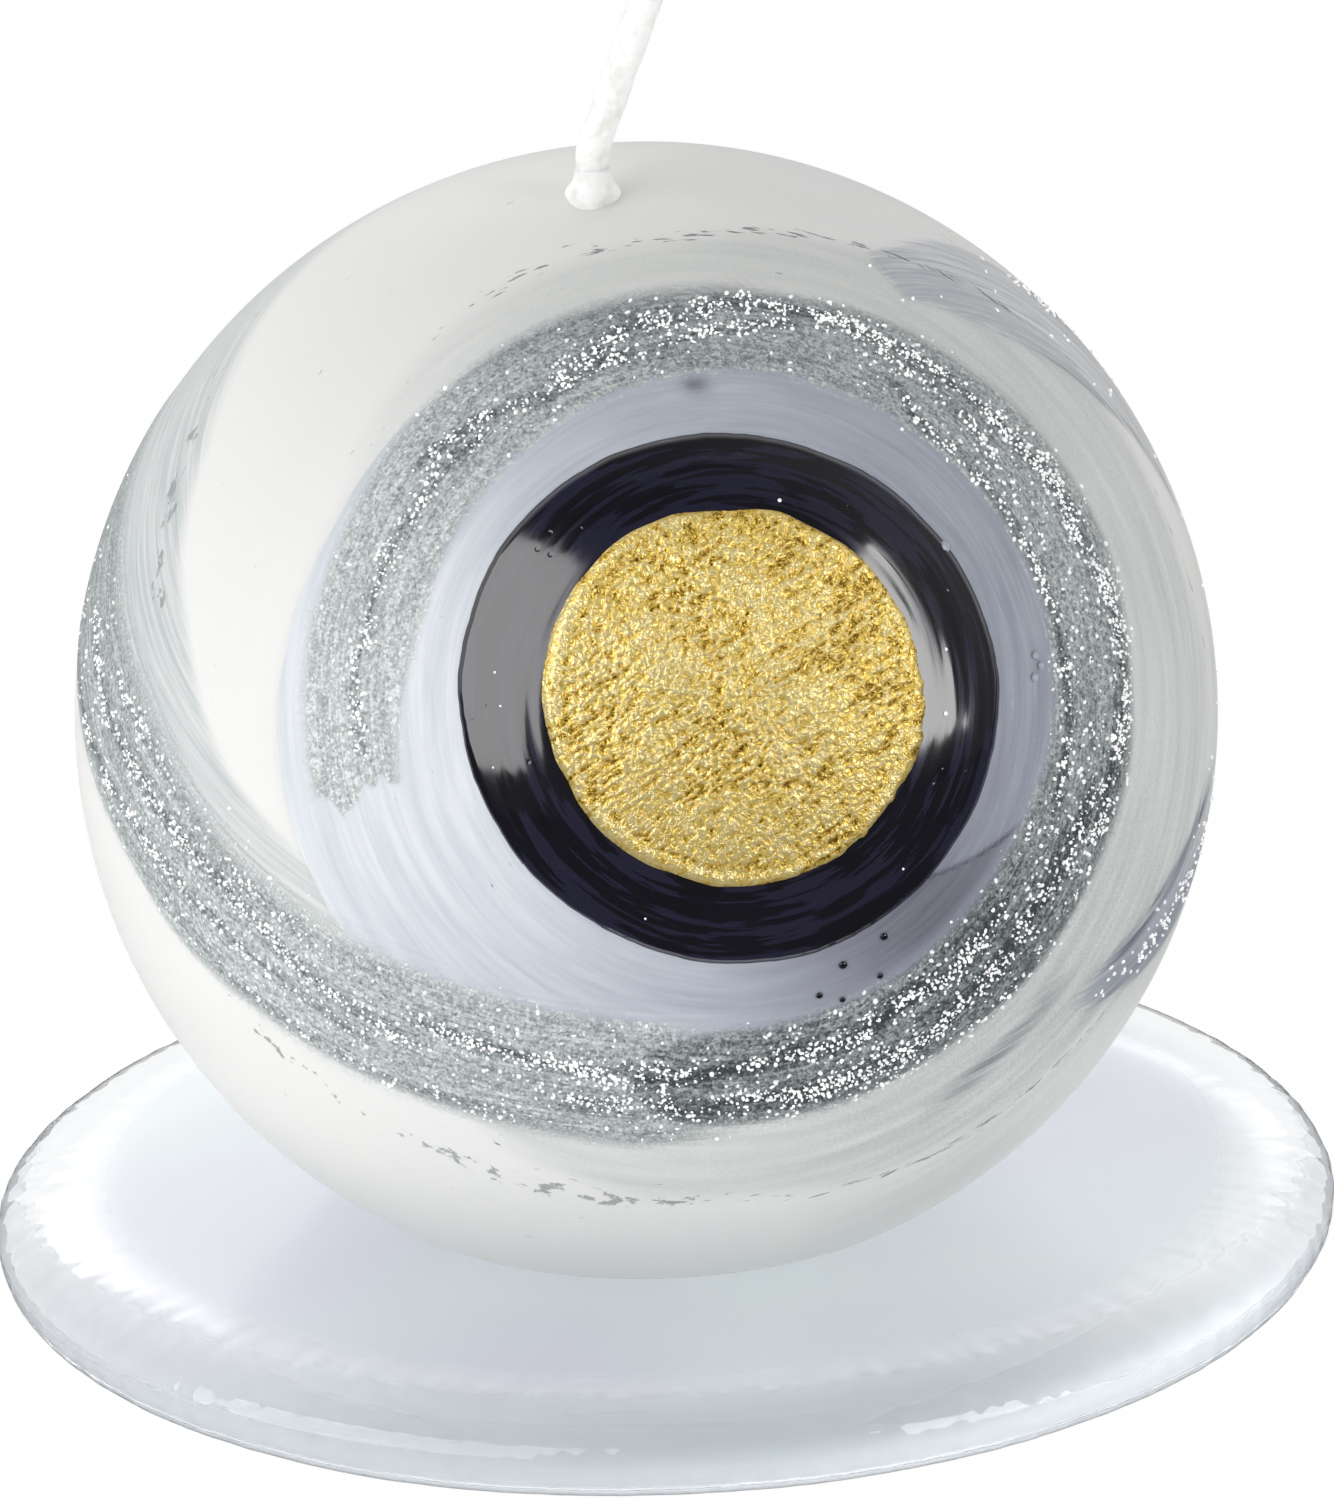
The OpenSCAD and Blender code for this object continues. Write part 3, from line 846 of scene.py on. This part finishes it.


# Gold leaf pressed into soft paste: satin, finely crinkled, scratched where it was rubbed, with painted shade in
# the folds
goldLook = {"tones": ((0.0, "#5A430C"), (0.2, "#BC9430"), (0.4, "#F2CB5C"), (0.62, "#FDDA76"), (0.85, "#FFE48E"),
                      (1.0, "#FFEAA6")), "crease": 0.45, "foldShadeDepth": 4.4, "foldTone": 0.04, "relief": 0.22}
goldShape = {"rubbed": 28, "height": 0.72, "crinkle": 0.2, "lip": 0.28, "lipTurn": 205, "lipAt": 0.945,
             "lipWidth": 0.028, "lipStray": ((0.012, 4, 30),), "grooveAt": 0.885, "grooveWidth": 0.014,
             "stray": ((0.3, 3, 25), (0.1, 9, 26)), "fringe": ((0.4, 18, 27),), "fringeTurn": -25,
             "bendSize": 2.5, "crinkleSize": (0.9, 0.5), "scratchSize": (2.4, 0.32), "grainSize": 0.3,
             "swellSize": 4.5, "tearSize": (4.5, 2.6), "base": 0.4, "grid": (125, 720, 5)}


def goldMaterial():
    material, tree, skin = startMaterial("goldLeaf", {"Metallic": 0.65, "Roughness": 0.3})
    field = addNode(tree, "Attribute", attribute_name="flakes").outputs["Fac"]
    place = addNode(tree, "TexCoord").outputs["Object"]
    crease = addNode(tree, "TexNoise", {"Vector": place, "Scale": 1 / (goldLook["crease"] * mm), "Detail": 2,
                                        "Roughness": 0.6, "Distortion": 0.8})
    # painted shade: the tone falls to dark brown along the creases of the noise, as shade in the folds
    foldShade = addNode(tree, "Math", [crease, 0.5], operation="SUBTRACT")
    foldShade = addNode(tree, "Math", [foldShade], operation="ABSOLUTE")
    level = addNode(tree, "Math", [foldShade, goldLook["foldShadeDepth"], field], operation="MULTIPLY_ADD")
    level = addNode(tree, "Math", [level, goldLook["foldTone"]], operation="SUBTRACT")
    tone = addNode(tree, "ValToRGB", [level], stops=goldLook["tones"])
    bump = addNode(tree, "Bump", {"Height": crease, "Strength": 1.0, "Distance": goldLook["relief"] * mm})
    drive(tree, skin, {"Base Color": tone, "Normal": bump})
    return material


# The leaf's fine crinkle and slow swell about 0, and 0 to 1 where it is torn, drawn out the way it was rubbed
def goldRelief(arc, turn):
    rubbed = turn - math.radians(goldShape["rubbed"])
    flat = np.stack([arc * np.cos(rubbed), arc * np.sin(rubbed), np.zeros_like(arc)], -1)
    bent = flat / goldShape["bendSize"]
    bend = np.stack([softNoise(bent, 21), softNoise(bent, 20), np.zeros_like(arc)], -1)
    crinkleSpot, scratchSpot, tearSpot = (flat / np.array([*goldShape[key], 1])
                                         for key in ("crinkleSize", "scratchSize", "tearSize"))
    crinkle = 1 - 2 * np.abs(softNoise(crinkleSpot + 1.2 * bend, 22))
    scratch = 1 - 2 * np.abs(softNoise(scratchSpot + 0.6 * bend, 23))
    grain = softNoise(flat / goldShape["grainSize"], 31)
    slow = softNoise(flat / goldShape["swellSize"], 24)
    torn = smoothStep(0.0, 0.5, softNoise(tearSpot + 0.6 * bend, 29))
    fine = 0.35 * crinkle + 0.35 * scratch + 0.4 * grain - 0.35
    return fine * (0.65 + 0.4 * torn), slow, torn


def makeGold():
    def edges(turn):
        fringe = smoothStep(0.6, 0.95, np.cos(turn - math.radians(goldShape["fringeTurn"])))
        wander = stray(turn, goldShape["stray"]) + np.maximum(0, stray(turn, goldShape["fringe"])) * fringe
        return np.zeros_like(turn), roundTurn(turn, motif["gold"]) + wander

    def lipOf(turn, share):
        side = 0.3 + 0.7 * smoothStep(-0.2, 0.7, np.cos(turn - math.radians(goldShape["lipTurn"])))
        waver = stray(turn, goldShape["lipStray"])
        return hump(share - goldShape["lipAt"] - waver, goldShape["lipWidth"]) * side

    def rise(arc, turn, share):
        fine, slow, torn = goldRelief(arc, turn)
        calm = 1 - 0.75 * smoothStep(0.86, 0.93, share)
        swell = goldShape["crinkle"] * (fine * calm + 0.8 * slow - 0.4 * torn)
        fall = smoothStep(0.97, 1.0, share)
        top = goldShape["height"] + swell + goldShape["lip"] * lipOf(turn, share)
        return top * (1 - fall) + goldShape["base"] * fall

    # tone of the leaf, with painted light: painted shade towards the top, bottom and right edges, in the crinkle's
    # valleys and in the groove inside the lip, and a painted highlight on the crinkle's peaks and on the lip
    def shade(arc, turn, share):
        fine, slow, torn = goldRelief(arc, turn)
        low = 0.12 * smoothStep(0.3, 0.9, np.abs(share * np.sin(turn)))
        low = low + 0.14 * smoothStep(0.2, 0.8, share * np.cos(turn))
        grooveShade = hump(share - goldShape["grooveAt"], goldShape["grooveWidth"])
        grooveShade = grooveShade * lipOf(turn, np.full_like(share, goldShape["lipAt"]))
        relief = 1.2 * fine + 0.1 * slow - 0.04 * torn
        return np.clip(0.7 - low + relief - 0.3 * grooveShade + 0.25 * lipOf(turn, share), 0, 1)

    # the gold's flakes field carries this tone, with its painted shade and painted highlight
    mesh = brushedCoat("goldDisc", motifPole, edges, None, goldShape["grid"], rise, goldShape["base"], shade)
    piece = makeObject("goldDisc", mesh, goldMaterial())
    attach(piece, "candle")
    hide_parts("gold_disc")


makeGold()
print("gold disc made")


# Polyester glitter with an aluminium skin: each grain catches the light on flat sides, and a faint white glow is
# added as painted light so that every grain reads bright
def flakeMaterial():
    material, tree, skin = startMaterial("aluminisedFlake", {
        "Metallic": 0.3, "Roughness": 0.2, "Emission Color": white, "Emission Strength": 0.3})
    place = addNode(tree, "TexCoord").outputs["Object"]
    cells = addNode(tree, "TexVoronoi", {"Vector": place, "Scale": 1 / (0.5 * mm)})  # about one cell a grain
    pick = addNode(tree, "SeparateColor", [cells.outputs["Color"]])
    tone = addNode(tree, "ValToRGB", [pick], stops=[(0.0, "#DDE2E2"), (0.35, "#F8FAF9"), (1.0, "#FFFFFF")])
    drive(tree, skin, {"Base Color": tone})
    return material


flakeMetal = flakeMaterial()


# Scatters faceted grains on a stroke, thick where its flakes field is high
def flakeTree():
    tree = bpy.data.node_groups.new("glitterScatter", "GeometryNodeTree")
    for name, kind in (("Geometry", "Geometry"), ("Density", "Float"), ("Gap", "Float"), ("Grain", "Float"),
                       ("Seed", "Int"), ("Material", "Material")):
        tree.interface.new_socket(name, in_out="INPUT", socket_type="NodeSocket" + kind)
    tree.interface.new_socket("Geometry", in_out="OUTPUT", socket_type="NodeSocketGeometry")
    given = addNode(tree, "NodeGroupInput").outputs
    field = addNode(tree, "GeometryNodeInputNamedAttribute", {"Name": "flakes"}, data_type="FLOAT")
    spots = addNode(tree, "GeometryNodeDistributePointsOnFaces",
                    {"Mesh": given["Geometry"], "Distance Min": given["Gap"], "Density Max": given["Density"],
                     "Density Factor": field, "Seed": given["Seed"]}, distribute_method="POISSON")
    grain = addNode(tree, "GeometryNodeMeshIcoSphere", {"Radius": given["Grain"], "Subdivisions": 1})
    spin = addNode(tree, "FunctionNodeRandomValue", {0: (0, 0, 0), 1: (math.tau, math.tau, math.tau),
                                                     "Seed": given["Seed"]}, data_type="FLOAT_VECTOR")
    size = addNode(tree, "FunctionNodeRandomValue", {0: (0.45, 0.45, 0.35), 1: (1.2, 1.2, 0.9),
                                                     "Seed": given["Seed"]}, data_type="FLOAT_VECTOR")
    spread = addNode(tree, "GeometryNodeInstanceOnPoints",
                     {"Points": spots, "Instance": grain, "Rotation": spin, "Scale": size})
    solid = addNode(tree, "GeometryNodeRealizeInstances", {0: spread})
    flat = addNode(tree, "GeometryNodeSetShadeSmooth", {0: solid, "Shade Smooth": False})
    coated = addNode(tree, "GeometryNodeSetMaterial", {0: flat, "Material": given["Material"]})
    addNode(tree, "NodeGroupOutput", {0: coated})
    return tree


glitterTree = flakeTree()
# Grains to the square metre where the field is 1, least gap and width in mm, and the seed of the scatter
glitter = {
    "ringFlakes": {"density": 8.0e6, "gap": 0.36, "grain": 0.52, "seed": 5},
    "ringDust": {"density": 6.0e6, "gap": 0.24, "grain": 0.3, "seed": 6},
    "sweepFlakes": {"density": 8.0e6, "gap": 0.36, "grain": 0.5, "seed": 7},
    "sweepDust": {"density": 6.0e6, "gap": 0.24, "grain": 0.3, "seed": 8},
    "greyFlakes": {"density": 1.2e7, "gap": 0.34, "grain": 0.5, "seed": 9},
}


def scatterFlakes(name, stroke):
    carrier = bpy.data.objects.new(name + "Source", stroke.data)
    bpy.context.scene.collection.objects.link(carrier)
    modifier = carrier.modifiers.new("glitter", "NODES")
    modifier.node_group = glitterTree
    spec = glitter[name]
    given = {"Density": spec["density"], "Gap": spec["gap"] * mm, "Grain": spec["grain"] * mm / 2,
             "Seed": spec["seed"], "Material": flakeMetal}
    for item in glitterTree.interface.items_tree:
        if item.in_out == "INPUT" and item.name in given:
            modifier[item.identifier] = given[item.name]
    shown = bpy.context.evaluated_depsgraph_get()
    mesh = bpy.data.meshes.new_from_object(carrier.evaluated_get(shown), depsgraph=shown)
    bpy.data.objects.remove(carrier)
    mesh.name = name
    piece = bpy.data.objects.new(name, mesh)
    bpy.context.scene.collection.objects.link(piece)
    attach(piece, "candle")
    print(name, "faces", len(mesh.polygons))


# A stroke's shape: heights above the ball and margins past the paint in mm, its layer, and the seed of clumps
ringShape = {"low": -0.03, "high": 0.16, "base": -0.1, "margins": (1.5, 1.5), "grid": (52, 520, 4),
             "layer": "layers", "clumps": 121}
sweepShape = {"low": -0.05, "high": 0.14, "base": -0.05, "margins": (3, 2), "grid": (76, 420, 5),
              "layer": "layers", "clumps": 151}
greyShape = {"low": -0.05, "high": 0.1, "base": -0.05, "margins": (1, 1), "grid": (44, 240, 4),
             "layer": "accents", "clumps": 171}


# A stroke between its edges, with glitter in its lanes and loose where its paint is.
# edgesOf gives its edges, and glitterOf the lanes and the loose grains, at each turn.
def strokeMesh(name, pole, stroke, shape, edgesOf, glitterOf):
    def edges(turn):
        inner, outer = edgesOf(turn)
        return inner - shape["margins"][0], outer + shape["margins"][1]

    def rise(arc, turn, share):
        return coatRise(pole, arc, turn, shape["layer"], 1, shape["low"], shape["high"])

    def flakes(arc, turn, share):
        cover = paintLayers(onBall(pole, arc, turn, np.zeros_like(arc)))[shape["layer"]][..., 1]
        clump = np.clip(0.75 + 0.9 * strokeNoise(arc, turn, 1.2, 16, shape["clumps"]), 0.15, 1)
        lanes, loose = glitterOf(arc, turn)
        return np.clip((lanes + loose) * cover * clump, 0, 1)

    span = [math.radians(stroke["from"]), math.radians(stroke["to"])]
    return brushedCoat(name, pole, edges, span, shape["grid"], rise, shape["base"], flakes)


def makeRing():
    def edgesOf(turn):
        return roundTurn(turn, ringStroke["inner"]), roundTurn(turn, ringStroke["outer"])

    def glitterOf(arc, turn):
        lanes = laneAmount(ringLanes, arc, unwound(turn, ringStroke["cut"]), laneSeeds["ring"])
        return lanes, roundTurn(turn, ringStroke["loose"])

    mesh = strokeMesh("glitterRing", motifPole, ringStroke, ringShape, edgesOf, glitterOf)
    piece = makeObject("glitterRing", mesh, silverPaint)
    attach(piece, "candle")
    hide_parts("glitter_ring")
    scatterFlakes("ringFlakes", piece)
    scatterFlakes("ringDust", piece)


def makeSweep():
    def edgesOf(turn):
        along = unwound(turn, 0)
        return alongTurn(along, sweepStroke["inner"]), alongTurn(along, sweepStroke["outer"])

    def glitterOf(arc, turn):
        along = unwound(turn, 0)
        lanes = laneAmount(sweepLanes, arc, along, laneSeeds["sweep"])
        return lanes, alongTurn(along, sweepStroke["loose"])

    mesh = strokeMesh("glitterSweep", sweepPole, sweepStroke, sweepShape, edgesOf, glitterOf)
    piece = makeObject("glitterSweep", mesh, silverPaint)
    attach(piece, "candle")
    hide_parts("glitter_sweep")
    scatterFlakes("sweepFlakes", piece)
    scatterFlakes("sweepDust", piece)


def makeGrey():
    def edgesOf(turn):
        tilt = np.degrees(turn)
        return alongTurn(tilt, greyStroke["inner"]), alongTurn(tilt, greyStroke["outer"])

    def glitterOf(arc, turn):
        return laneAmount(greyLanes, arc, np.degrees(turn), laneSeeds["grey"]), greyStroke["loose"]

    mesh = strokeMesh("greyStroke", greyPole, greyStroke, greyShape, edgesOf, glitterOf)
    piece = makeObject("greyStroke", mesh, greyPaint)
    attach(piece, "candle")
    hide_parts("grey_stroke")
    scatterFlakes("greyFlakes", piece)


# Small marks on the motif at (degrees, mm over the ball, width in mm), each raised by a height in mm
marks = {
    "lacquerDrops": {"at": ((-78, 27.0, 0.6), (-72, 25.0, 0.75), (-62, 24.5, 0.7), (-66, 27.7, 0.55),
                            (-74, 28.2, 0.55)), "lift": 0.14},
    "waxBeads": {"at": ((30, 22.9, 1.1), (-1, 27.6, 0.8), (1, 28.4, 0.7), (3, 27.9, 0.7)), "lift": 0.2},
    "strayGrains": {"at": ((168, 20.6, 0.22), (176, 20.0, 0.2), (-170, 21.4, 0.18), (8, 18.6, 0.3),
                           (-9, 18.0, 0.4), (72, 17.2, 0.35), (-118, 20, 0.2), (-50, 20.4, 0.22)), "lift": 0.45},
}
markFlatness = 0.55


def makeMarks():
    # set wax that lies clear over the paint, with a wet shine
    clear = startMaterial("clearWaxBead", {"Base Color": linear("#A9ADB8"), "Roughness": 0.12, "IOR": 1.45})[0]
    looks = {"lacquerDrops": (lacquer, "dark_glaze"), "waxBeads": (clear, "wax"),
             "strayGrains": (flakeMetal, "silver_glitter")}
    for name, (material, slot) in looks.items():
        work = bmesh.new()
        lift = np.array([marks[name]["lift"]])
        for degrees, arc, width in marks[name]["at"]:
            spot = onBall(motifPole, np.array([arc]), np.radians([degrees]), lift)[0]
            out = Vector(spot - np.array(ballCentre)).normalized()
            place = Matrix.Translation(spot) @ Matrix.Scale(markFlatness, 4, out)
            bmesh.ops.create_icosphere(work, subdivisions=2, radius=width * mm / 2, matrix=place)
        for face in work.faces:
            face.smooth = True
        mesh = bpy.data.meshes.new(name)
        work.to_mesh(mesh)
        work.free()
        piece = makeObject(name, mesh, material)
        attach(piece, "candle")


makeRing()
makeSweep()
makeGrey()
makeMarks()
print("glitter strokes made")


# Braided cotton soaked in wax: white, soft plaits showing under the wax
wickLook = {"tones": ((0.3, "#E9E8E4"), (0.5, "#FAFAF8"), (0.8, "#FFFFFE")), "stain": 1.2, "fibre": 0.25,
            "relief": 0.05}
wickShape = {"sides": 40, "step": 0.16, "plaits": 4, "pitch": 5.0, "depth": 0.13, "lump": 0.12, "round": 3.0,
             "lean": 21, "heldRows": 12, "fade": 1.0, "endRound": 0.5, "endShare": 0.72, "lumpAround": 1.2,
             "lumpLength": 1.5}


def wickMaterial():
    material, tree, skin = startMaterial("waxedCotton", {
        "Roughness": 0.42, "IOR": 1.45, "Subsurface Weight": 0.4, "Subsurface Radius": (1, 0.9, 0.8),
        "Subsurface Scale": 0.0015})
    place = addNode(tree, "TexCoord").outputs["Object"]
    stain = addNode(tree, "TexNoise", {"Vector": place, "Scale": 1 / (wickLook["stain"] * mm), "Detail": 4})
    tone = addNode(tree, "ValToRGB", [stain], stops=wickLook["tones"])
    fibre = addNode(tree, "TexNoise", {"Vector": place, "Scale": 1 / (wickLook["fibre"] * mm), "Detail": 2})
    bump = addNode(tree, "Bump", {"Height": fibre, "Strength": 0.3, "Distance": wickLook["relief"] * mm})
    drive(tree, skin, {"Base Color": tone, "Normal": bump})
    return material


waxedCotton = wickMaterial()


def makeWick():
    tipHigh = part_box("wick_tip")[1]
    lean = math.radians(wickShape["lean"])
    tipWay = Vector((math.sin(lean), 0, math.cos(lean)))
    tipLength = (tipHigh.z - bendPoint.z - wickRadius * math.sin(lean)) / math.cos(lean)
    bendRadius = wickShape["round"] * mm
    tangent = bendRadius * math.tan(lean / 2)
    bottom = wickLow.z
    straight = bendPoint.z - tangent - bottom
    arcLength = bendRadius * lean
    total = straight + arcLength + tipLength - tangent
    exitLength = collarLow.z - bottom
    stations = np.concatenate([np.linspace(0, exitLength, wickShape["heldRows"], endpoint=False),
                               np.arange(exitLength, total, wickShape["step"] * mm), [total]])
    plaits, fadeLength, endShare = wickShape["plaits"], wickShape["fade"] * mm, wickShape["endShare"]
    points, turn = [], fullTurn(wickShape["sides"])
    for along in stations:
        # straight up, round the bend, then along the leaning tip
        if along <= straight:
            angle, centre = 0, Vector((bendPoint.x, bendPoint.y, bottom + along))
        elif along <= straight + arcLength:
            angle = (along - straight) / bendRadius
            centre = Vector((bendPoint.x + bendRadius * (1 - math.cos(angle)), bendPoint.y,
                             bottom + straight + bendRadius * math.sin(angle)))
        else:
            angle = lean
            centre = bendPoint + tipWay * (tangent + along - straight - arcLength)
        phase = along / (wickShape["pitch"] * mm) * math.tau
        weave = np.maximum(np.cos(plaits * turn + phase), np.cos(plaits * turn - phase))
        spot = np.stack([np.cos(turn) * wickShape["lumpAround"], np.sin(turn) * wickShape["lumpAround"],
                         np.full_like(turn, along / mm / wickShape["lumpLength"])], -1)
        lump = 0.5 + 0.5 * softNoise(spot, 61)
        fade = smoothStep(exitLength - fadeLength, exitLength + fadeLength, along)
        radius = wickRadius - fade * mm * (wickShape["depth"] * (1 - weave) * 0.5 + wickShape["lump"] * lump)
        end = np.clip((total - along) / (wickShape["endRound"] * mm), 0, 1)
        radius = radius * (endShare + (1 - endShare) * np.sqrt(1 - (1 - end) ** 2))
        sideWay, backWay = np.array([math.cos(angle), 0, -math.sin(angle)]), np.array([0, 1, 0])
        outWay = np.cos(turn)[:, None] * sideWay + np.sin(turn)[:, None] * backWay
        points.append(np.array(centre) + radius[:, None] * outWay)
    mesh = turnedMesh("wick", np.concatenate(points), len(stations), wickShape["sides"], capped=True)
    tidyMesh(mesh)
    piece = makeObject("wick", mesh, waxedCotton)
    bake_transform(piece)
    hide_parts("wick_cord", "wick_tip")


# Bead of wax that crept up the wick, with drops at its sides
collarShape = {"rows": 30, "columns": 60, "base": 2.0, "height": 3.2, "sink": 0.5, "lobe": 0.5, "lift": 0.35,
               "neck": 0.86, "lump": 0.25, "lumpAround": 1.3, "lumpUp": 2.5, "dome": 1.6, "lobeTurn": 0.4,
               "lobeAt": 0.35, "lobeHeight": 0.2}


def makeCollar():
    rows, columns = collarShape["rows"], collarShape["columns"]
    share, turn = np.meshgrid(np.linspace(0, 1, rows), fullTurn(columns), indexing="ij")
    around, up = collarShape["lumpAround"], collarShape["lumpUp"]
    lump = softNoise(np.stack([np.cos(turn) * around, np.sin(turn) * around, share * up], -1), 71)
    neck, base = wickRadius * collarShape["neck"], collarShape["base"] * mm
    lobes = np.maximum(0, np.cos(2 * turn + collarShape["lobeTurn"])) ** 2
    lobes = lobes * collarShape["lobe"] * mm * hump(share - collarShape["lobeAt"], collarShape["lobeHeight"])
    dome = np.sqrt(np.clip(1 - share ** collarShape["dome"], 0, 1))
    radius = neck + (base - neck) * dome * (1 + collarShape["lump"] * lump) + lobes
    height = (-collarShape["sink"] + share * (collarShape["height"] + collarShape["sink"])) * mm
    points = np.stack([wickAxis.x + radius * np.cos(turn), wickAxis.y + radius * np.sin(turn),
                       collarLow.z + collarShape["lift"] * mm + height], -1)
    mesh = turnedMesh("wickCollar", points.reshape(-1, 3), rows, columns, capped=True)
    tidyMesh(mesh)
    piece = makeObject("wickCollar", mesh, waxedCotton)
    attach(piece, "candle")
    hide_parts("wick_collar")


makeWick()
makeCollar()
print("wick made")


# Fire-polished glass with a faint pearl lustre: clear and a little milky, slow waves left by the mould
plateShape = {"columns": 720, "edgeSteps": 30, "faceRows": 24, "wave": 0.18, "ripple": 0.16, "feather": 0.06,
              "shoulder": 12, "shoulderCurve": 0.67, "crown": (14, 7), "waveAround": 5, "waveUp": 6, "quicker": 8,
              "edgeFrom": 0.9}
glassLook = {"pearl": ((0.42, "#E0E1EB"), (0.66, "#E8F0F1")), "rim": "#FCFDFE", "leaving": "#F2F5F7",
             "clear": 0.94, "satin": 0.3, "rimRough": 0.05, "rimFrom": 12, "rimTo": 3, "cloud": 45, "wave": 9,
             "relief": 0.4, "reach": 2.5, "absorb": (0.7, 0.8, 0.9, 1), "density": 2}


def glassMaterial():
    material, tree, skin = startMaterial("firePolishedGlass", {
        "Roughness": 0.04, "IOR": 1.5, "Transmission Weight": glassLook["clear"]})
    place = addNode(tree, "TexCoord").outputs["Object"]
    clouds = addNode(tree, "TexNoise", {"Vector": place, "Scale": 1 / (glassLook["cloud"] * mm), "Detail": 1})
    lustre = addNode(tree, "ValToRGB", [clouds], stops=glassLook["pearl"])
    flat = addNode(tree, "VectorMath", [place, (1, 1, 0)], operation="MULTIPLY")
    reach = addNode(tree, "VectorMath", [flat], operation="LENGTH").outputs["Value"]
    edge = addNode(tree, "MapRange", [reach, plateRadius - glassLook["rimFrom"] * mm,
                                      plateRadius - glassLook["rimTo"] * mm], interpolation_type="SMOOTHSTEP")
    colour = addNode(tree, "Mix", {0: edge, 6: lustre, 7: linear(glassLook["rim"])}, data_type="RGBA").outputs[2]
    gloss = addNode(tree, "MapRange", [edge, 0.0, 1.0, glassLook["satin"], glassLook["rimRough"]])
    wave = addNode(tree, "TexNoise", {"Vector": place, "Scale": 1 / (glassLook["wave"] * mm), "Detail": 2})
    bump = addNode(tree, "Bump", {"Height": wave, "Strength": 0.15, "Distance": glassLook["relief"] * mm})
    drive(tree, skin, {"Base Color": colour, "Roughness": gloss, "Normal": bump})
    # light that has gone round inside the rim a few times leaves it, and shadows stay pale
    path = addNode(tree, "LightPath").outputs
    tired = addNode(tree, "Math", [path["Glossy Depth"], glassLook["reach"]], operation="GREATER_THAN")
    leave = addNode(tree, "Math", [tired, path["Is Shadow Ray"]], operation="MAXIMUM")
    clear = addNode(tree, "BsdfTransparent", {"Color": linear(glassLook["leaving"])})
    inside = addNode(tree, "VolumeAbsorption", {"Color": glassLook["absorb"], "Density": glassLook["density"]})
    out = next(n for n in tree.nodes if n.type == "OUTPUT_MATERIAL")
    drive(tree, out, {"Surface": addNode(tree, "MixShader", [leave, skin, clear]), "Volume": inside})
    return material


def makePlate():
    edge = plateTop / 2
    flat = plateRadius - edge
    shoulder = plateShape["shoulder"] * mm
    bend = np.linspace(-math.pi / 2, math.pi / 2, plateShape["edgeSteps"])
    # the lower edge is a plain round; the upper one falls slowly from the face, as fire-polished glass does
    profile = [(flat * s, 0.0) for s in np.linspace(0, 1, plateShape["faceRows"], endpoint=False)]
    profile += [(flat + edge * math.cos(a), edge + edge * math.sin(a)) for a in bend if a < 0]
    profile += [(plateRadius - shoulder * (1 - abs(math.cos(a)) ** plateShape["shoulderCurve"]),
                 edge + edge * math.sin(a)) for a in bend if a >= 0]
    profile += [((plateRadius - shoulder) * s, plateTop) for s in np.linspace(1, 0, plateShape["faceRows"] + 1)[1:]]
    ring = np.array(profile)
    columns = plateShape["columns"]
    radius, angle = np.meshgrid(ring[:, 0], fullTurn(columns), indexing="ij")
    height = np.repeat(ring[:, 1:], columns, 1)
    # slow waves and quick ripples at the edge, the ripples also in the fall of the face
    around, quicker = plateShape["waveAround"], plateShape["quicker"]
    spot = np.stack([np.cos(angle) * around, np.sin(angle) * around, height / mm / plateShape["waveUp"]], -1)
    slow = 0.5 + 0.5 * softNoise(spot, 81)
    quick = 0.5 + 0.5 * softNoise(spot * np.array([quicker, quicker, 1.0]), 82)
    near = smoothStep(flat * plateShape["edgeFrom"], plateRadius, radius)
    radius = radius - near * mm * (plateShape["wave"] * slow + plateShape["ripple"] * quick)
    crownFrom, crownTo = (plateRadius - reach * mm for reach in plateShape["crown"])
    crown = smoothStep(crownFrom, crownTo, radius) * (height > edge)
    height = height - crown * mm * plateShape["feather"] * quick
    points = np.stack([radius * np.cos(angle), radius * np.sin(angle), height], -1).reshape(-1, 3)
    mesh = turnedMesh("glassPlate", points, len(ring), columns)
    tidyMesh(mesh)
    piece = makeObject("glassPlate", mesh, glassMaterial())
    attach(piece, "plate")
    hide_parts("glass_plate")


makePlate()
print("glass plate made")

# Tin plate, pressed: dull bright metal with fine rolling lines
tinLook = {"tones": ((0.3, "#A9A9A6"), (0.7, "#CFCFCB")), "line": 3, "drawnOut": 12}


def tinMaterial():
    material, tree, skin = startMaterial("pressedTinPlate", {"Metallic": 1.0, "Roughness": 0.35})
    place = addNode(tree, "TexCoord").outputs["Object"]
    drawn = addNode(tree, "Mapping", {"Vector": place, "Scale": (1, tinLook["drawnOut"], 1)})
    rolled = addNode(tree, "TexNoise", {"Vector": drawn, "Scale": 1 / (tinLook["line"] * mm), "Detail": 3})
    tone = addNode(tree, "ValToRGB", [rolled], stops=tinLook["tones"])
    drive(tree, skin, {"Base Color": tone})
    return material


tab = frame["nodes"]["wick_sustainer"]
tab.data.materials.clear()
tab.data.materials.append(tinMaterial())
print("wick tab coated")
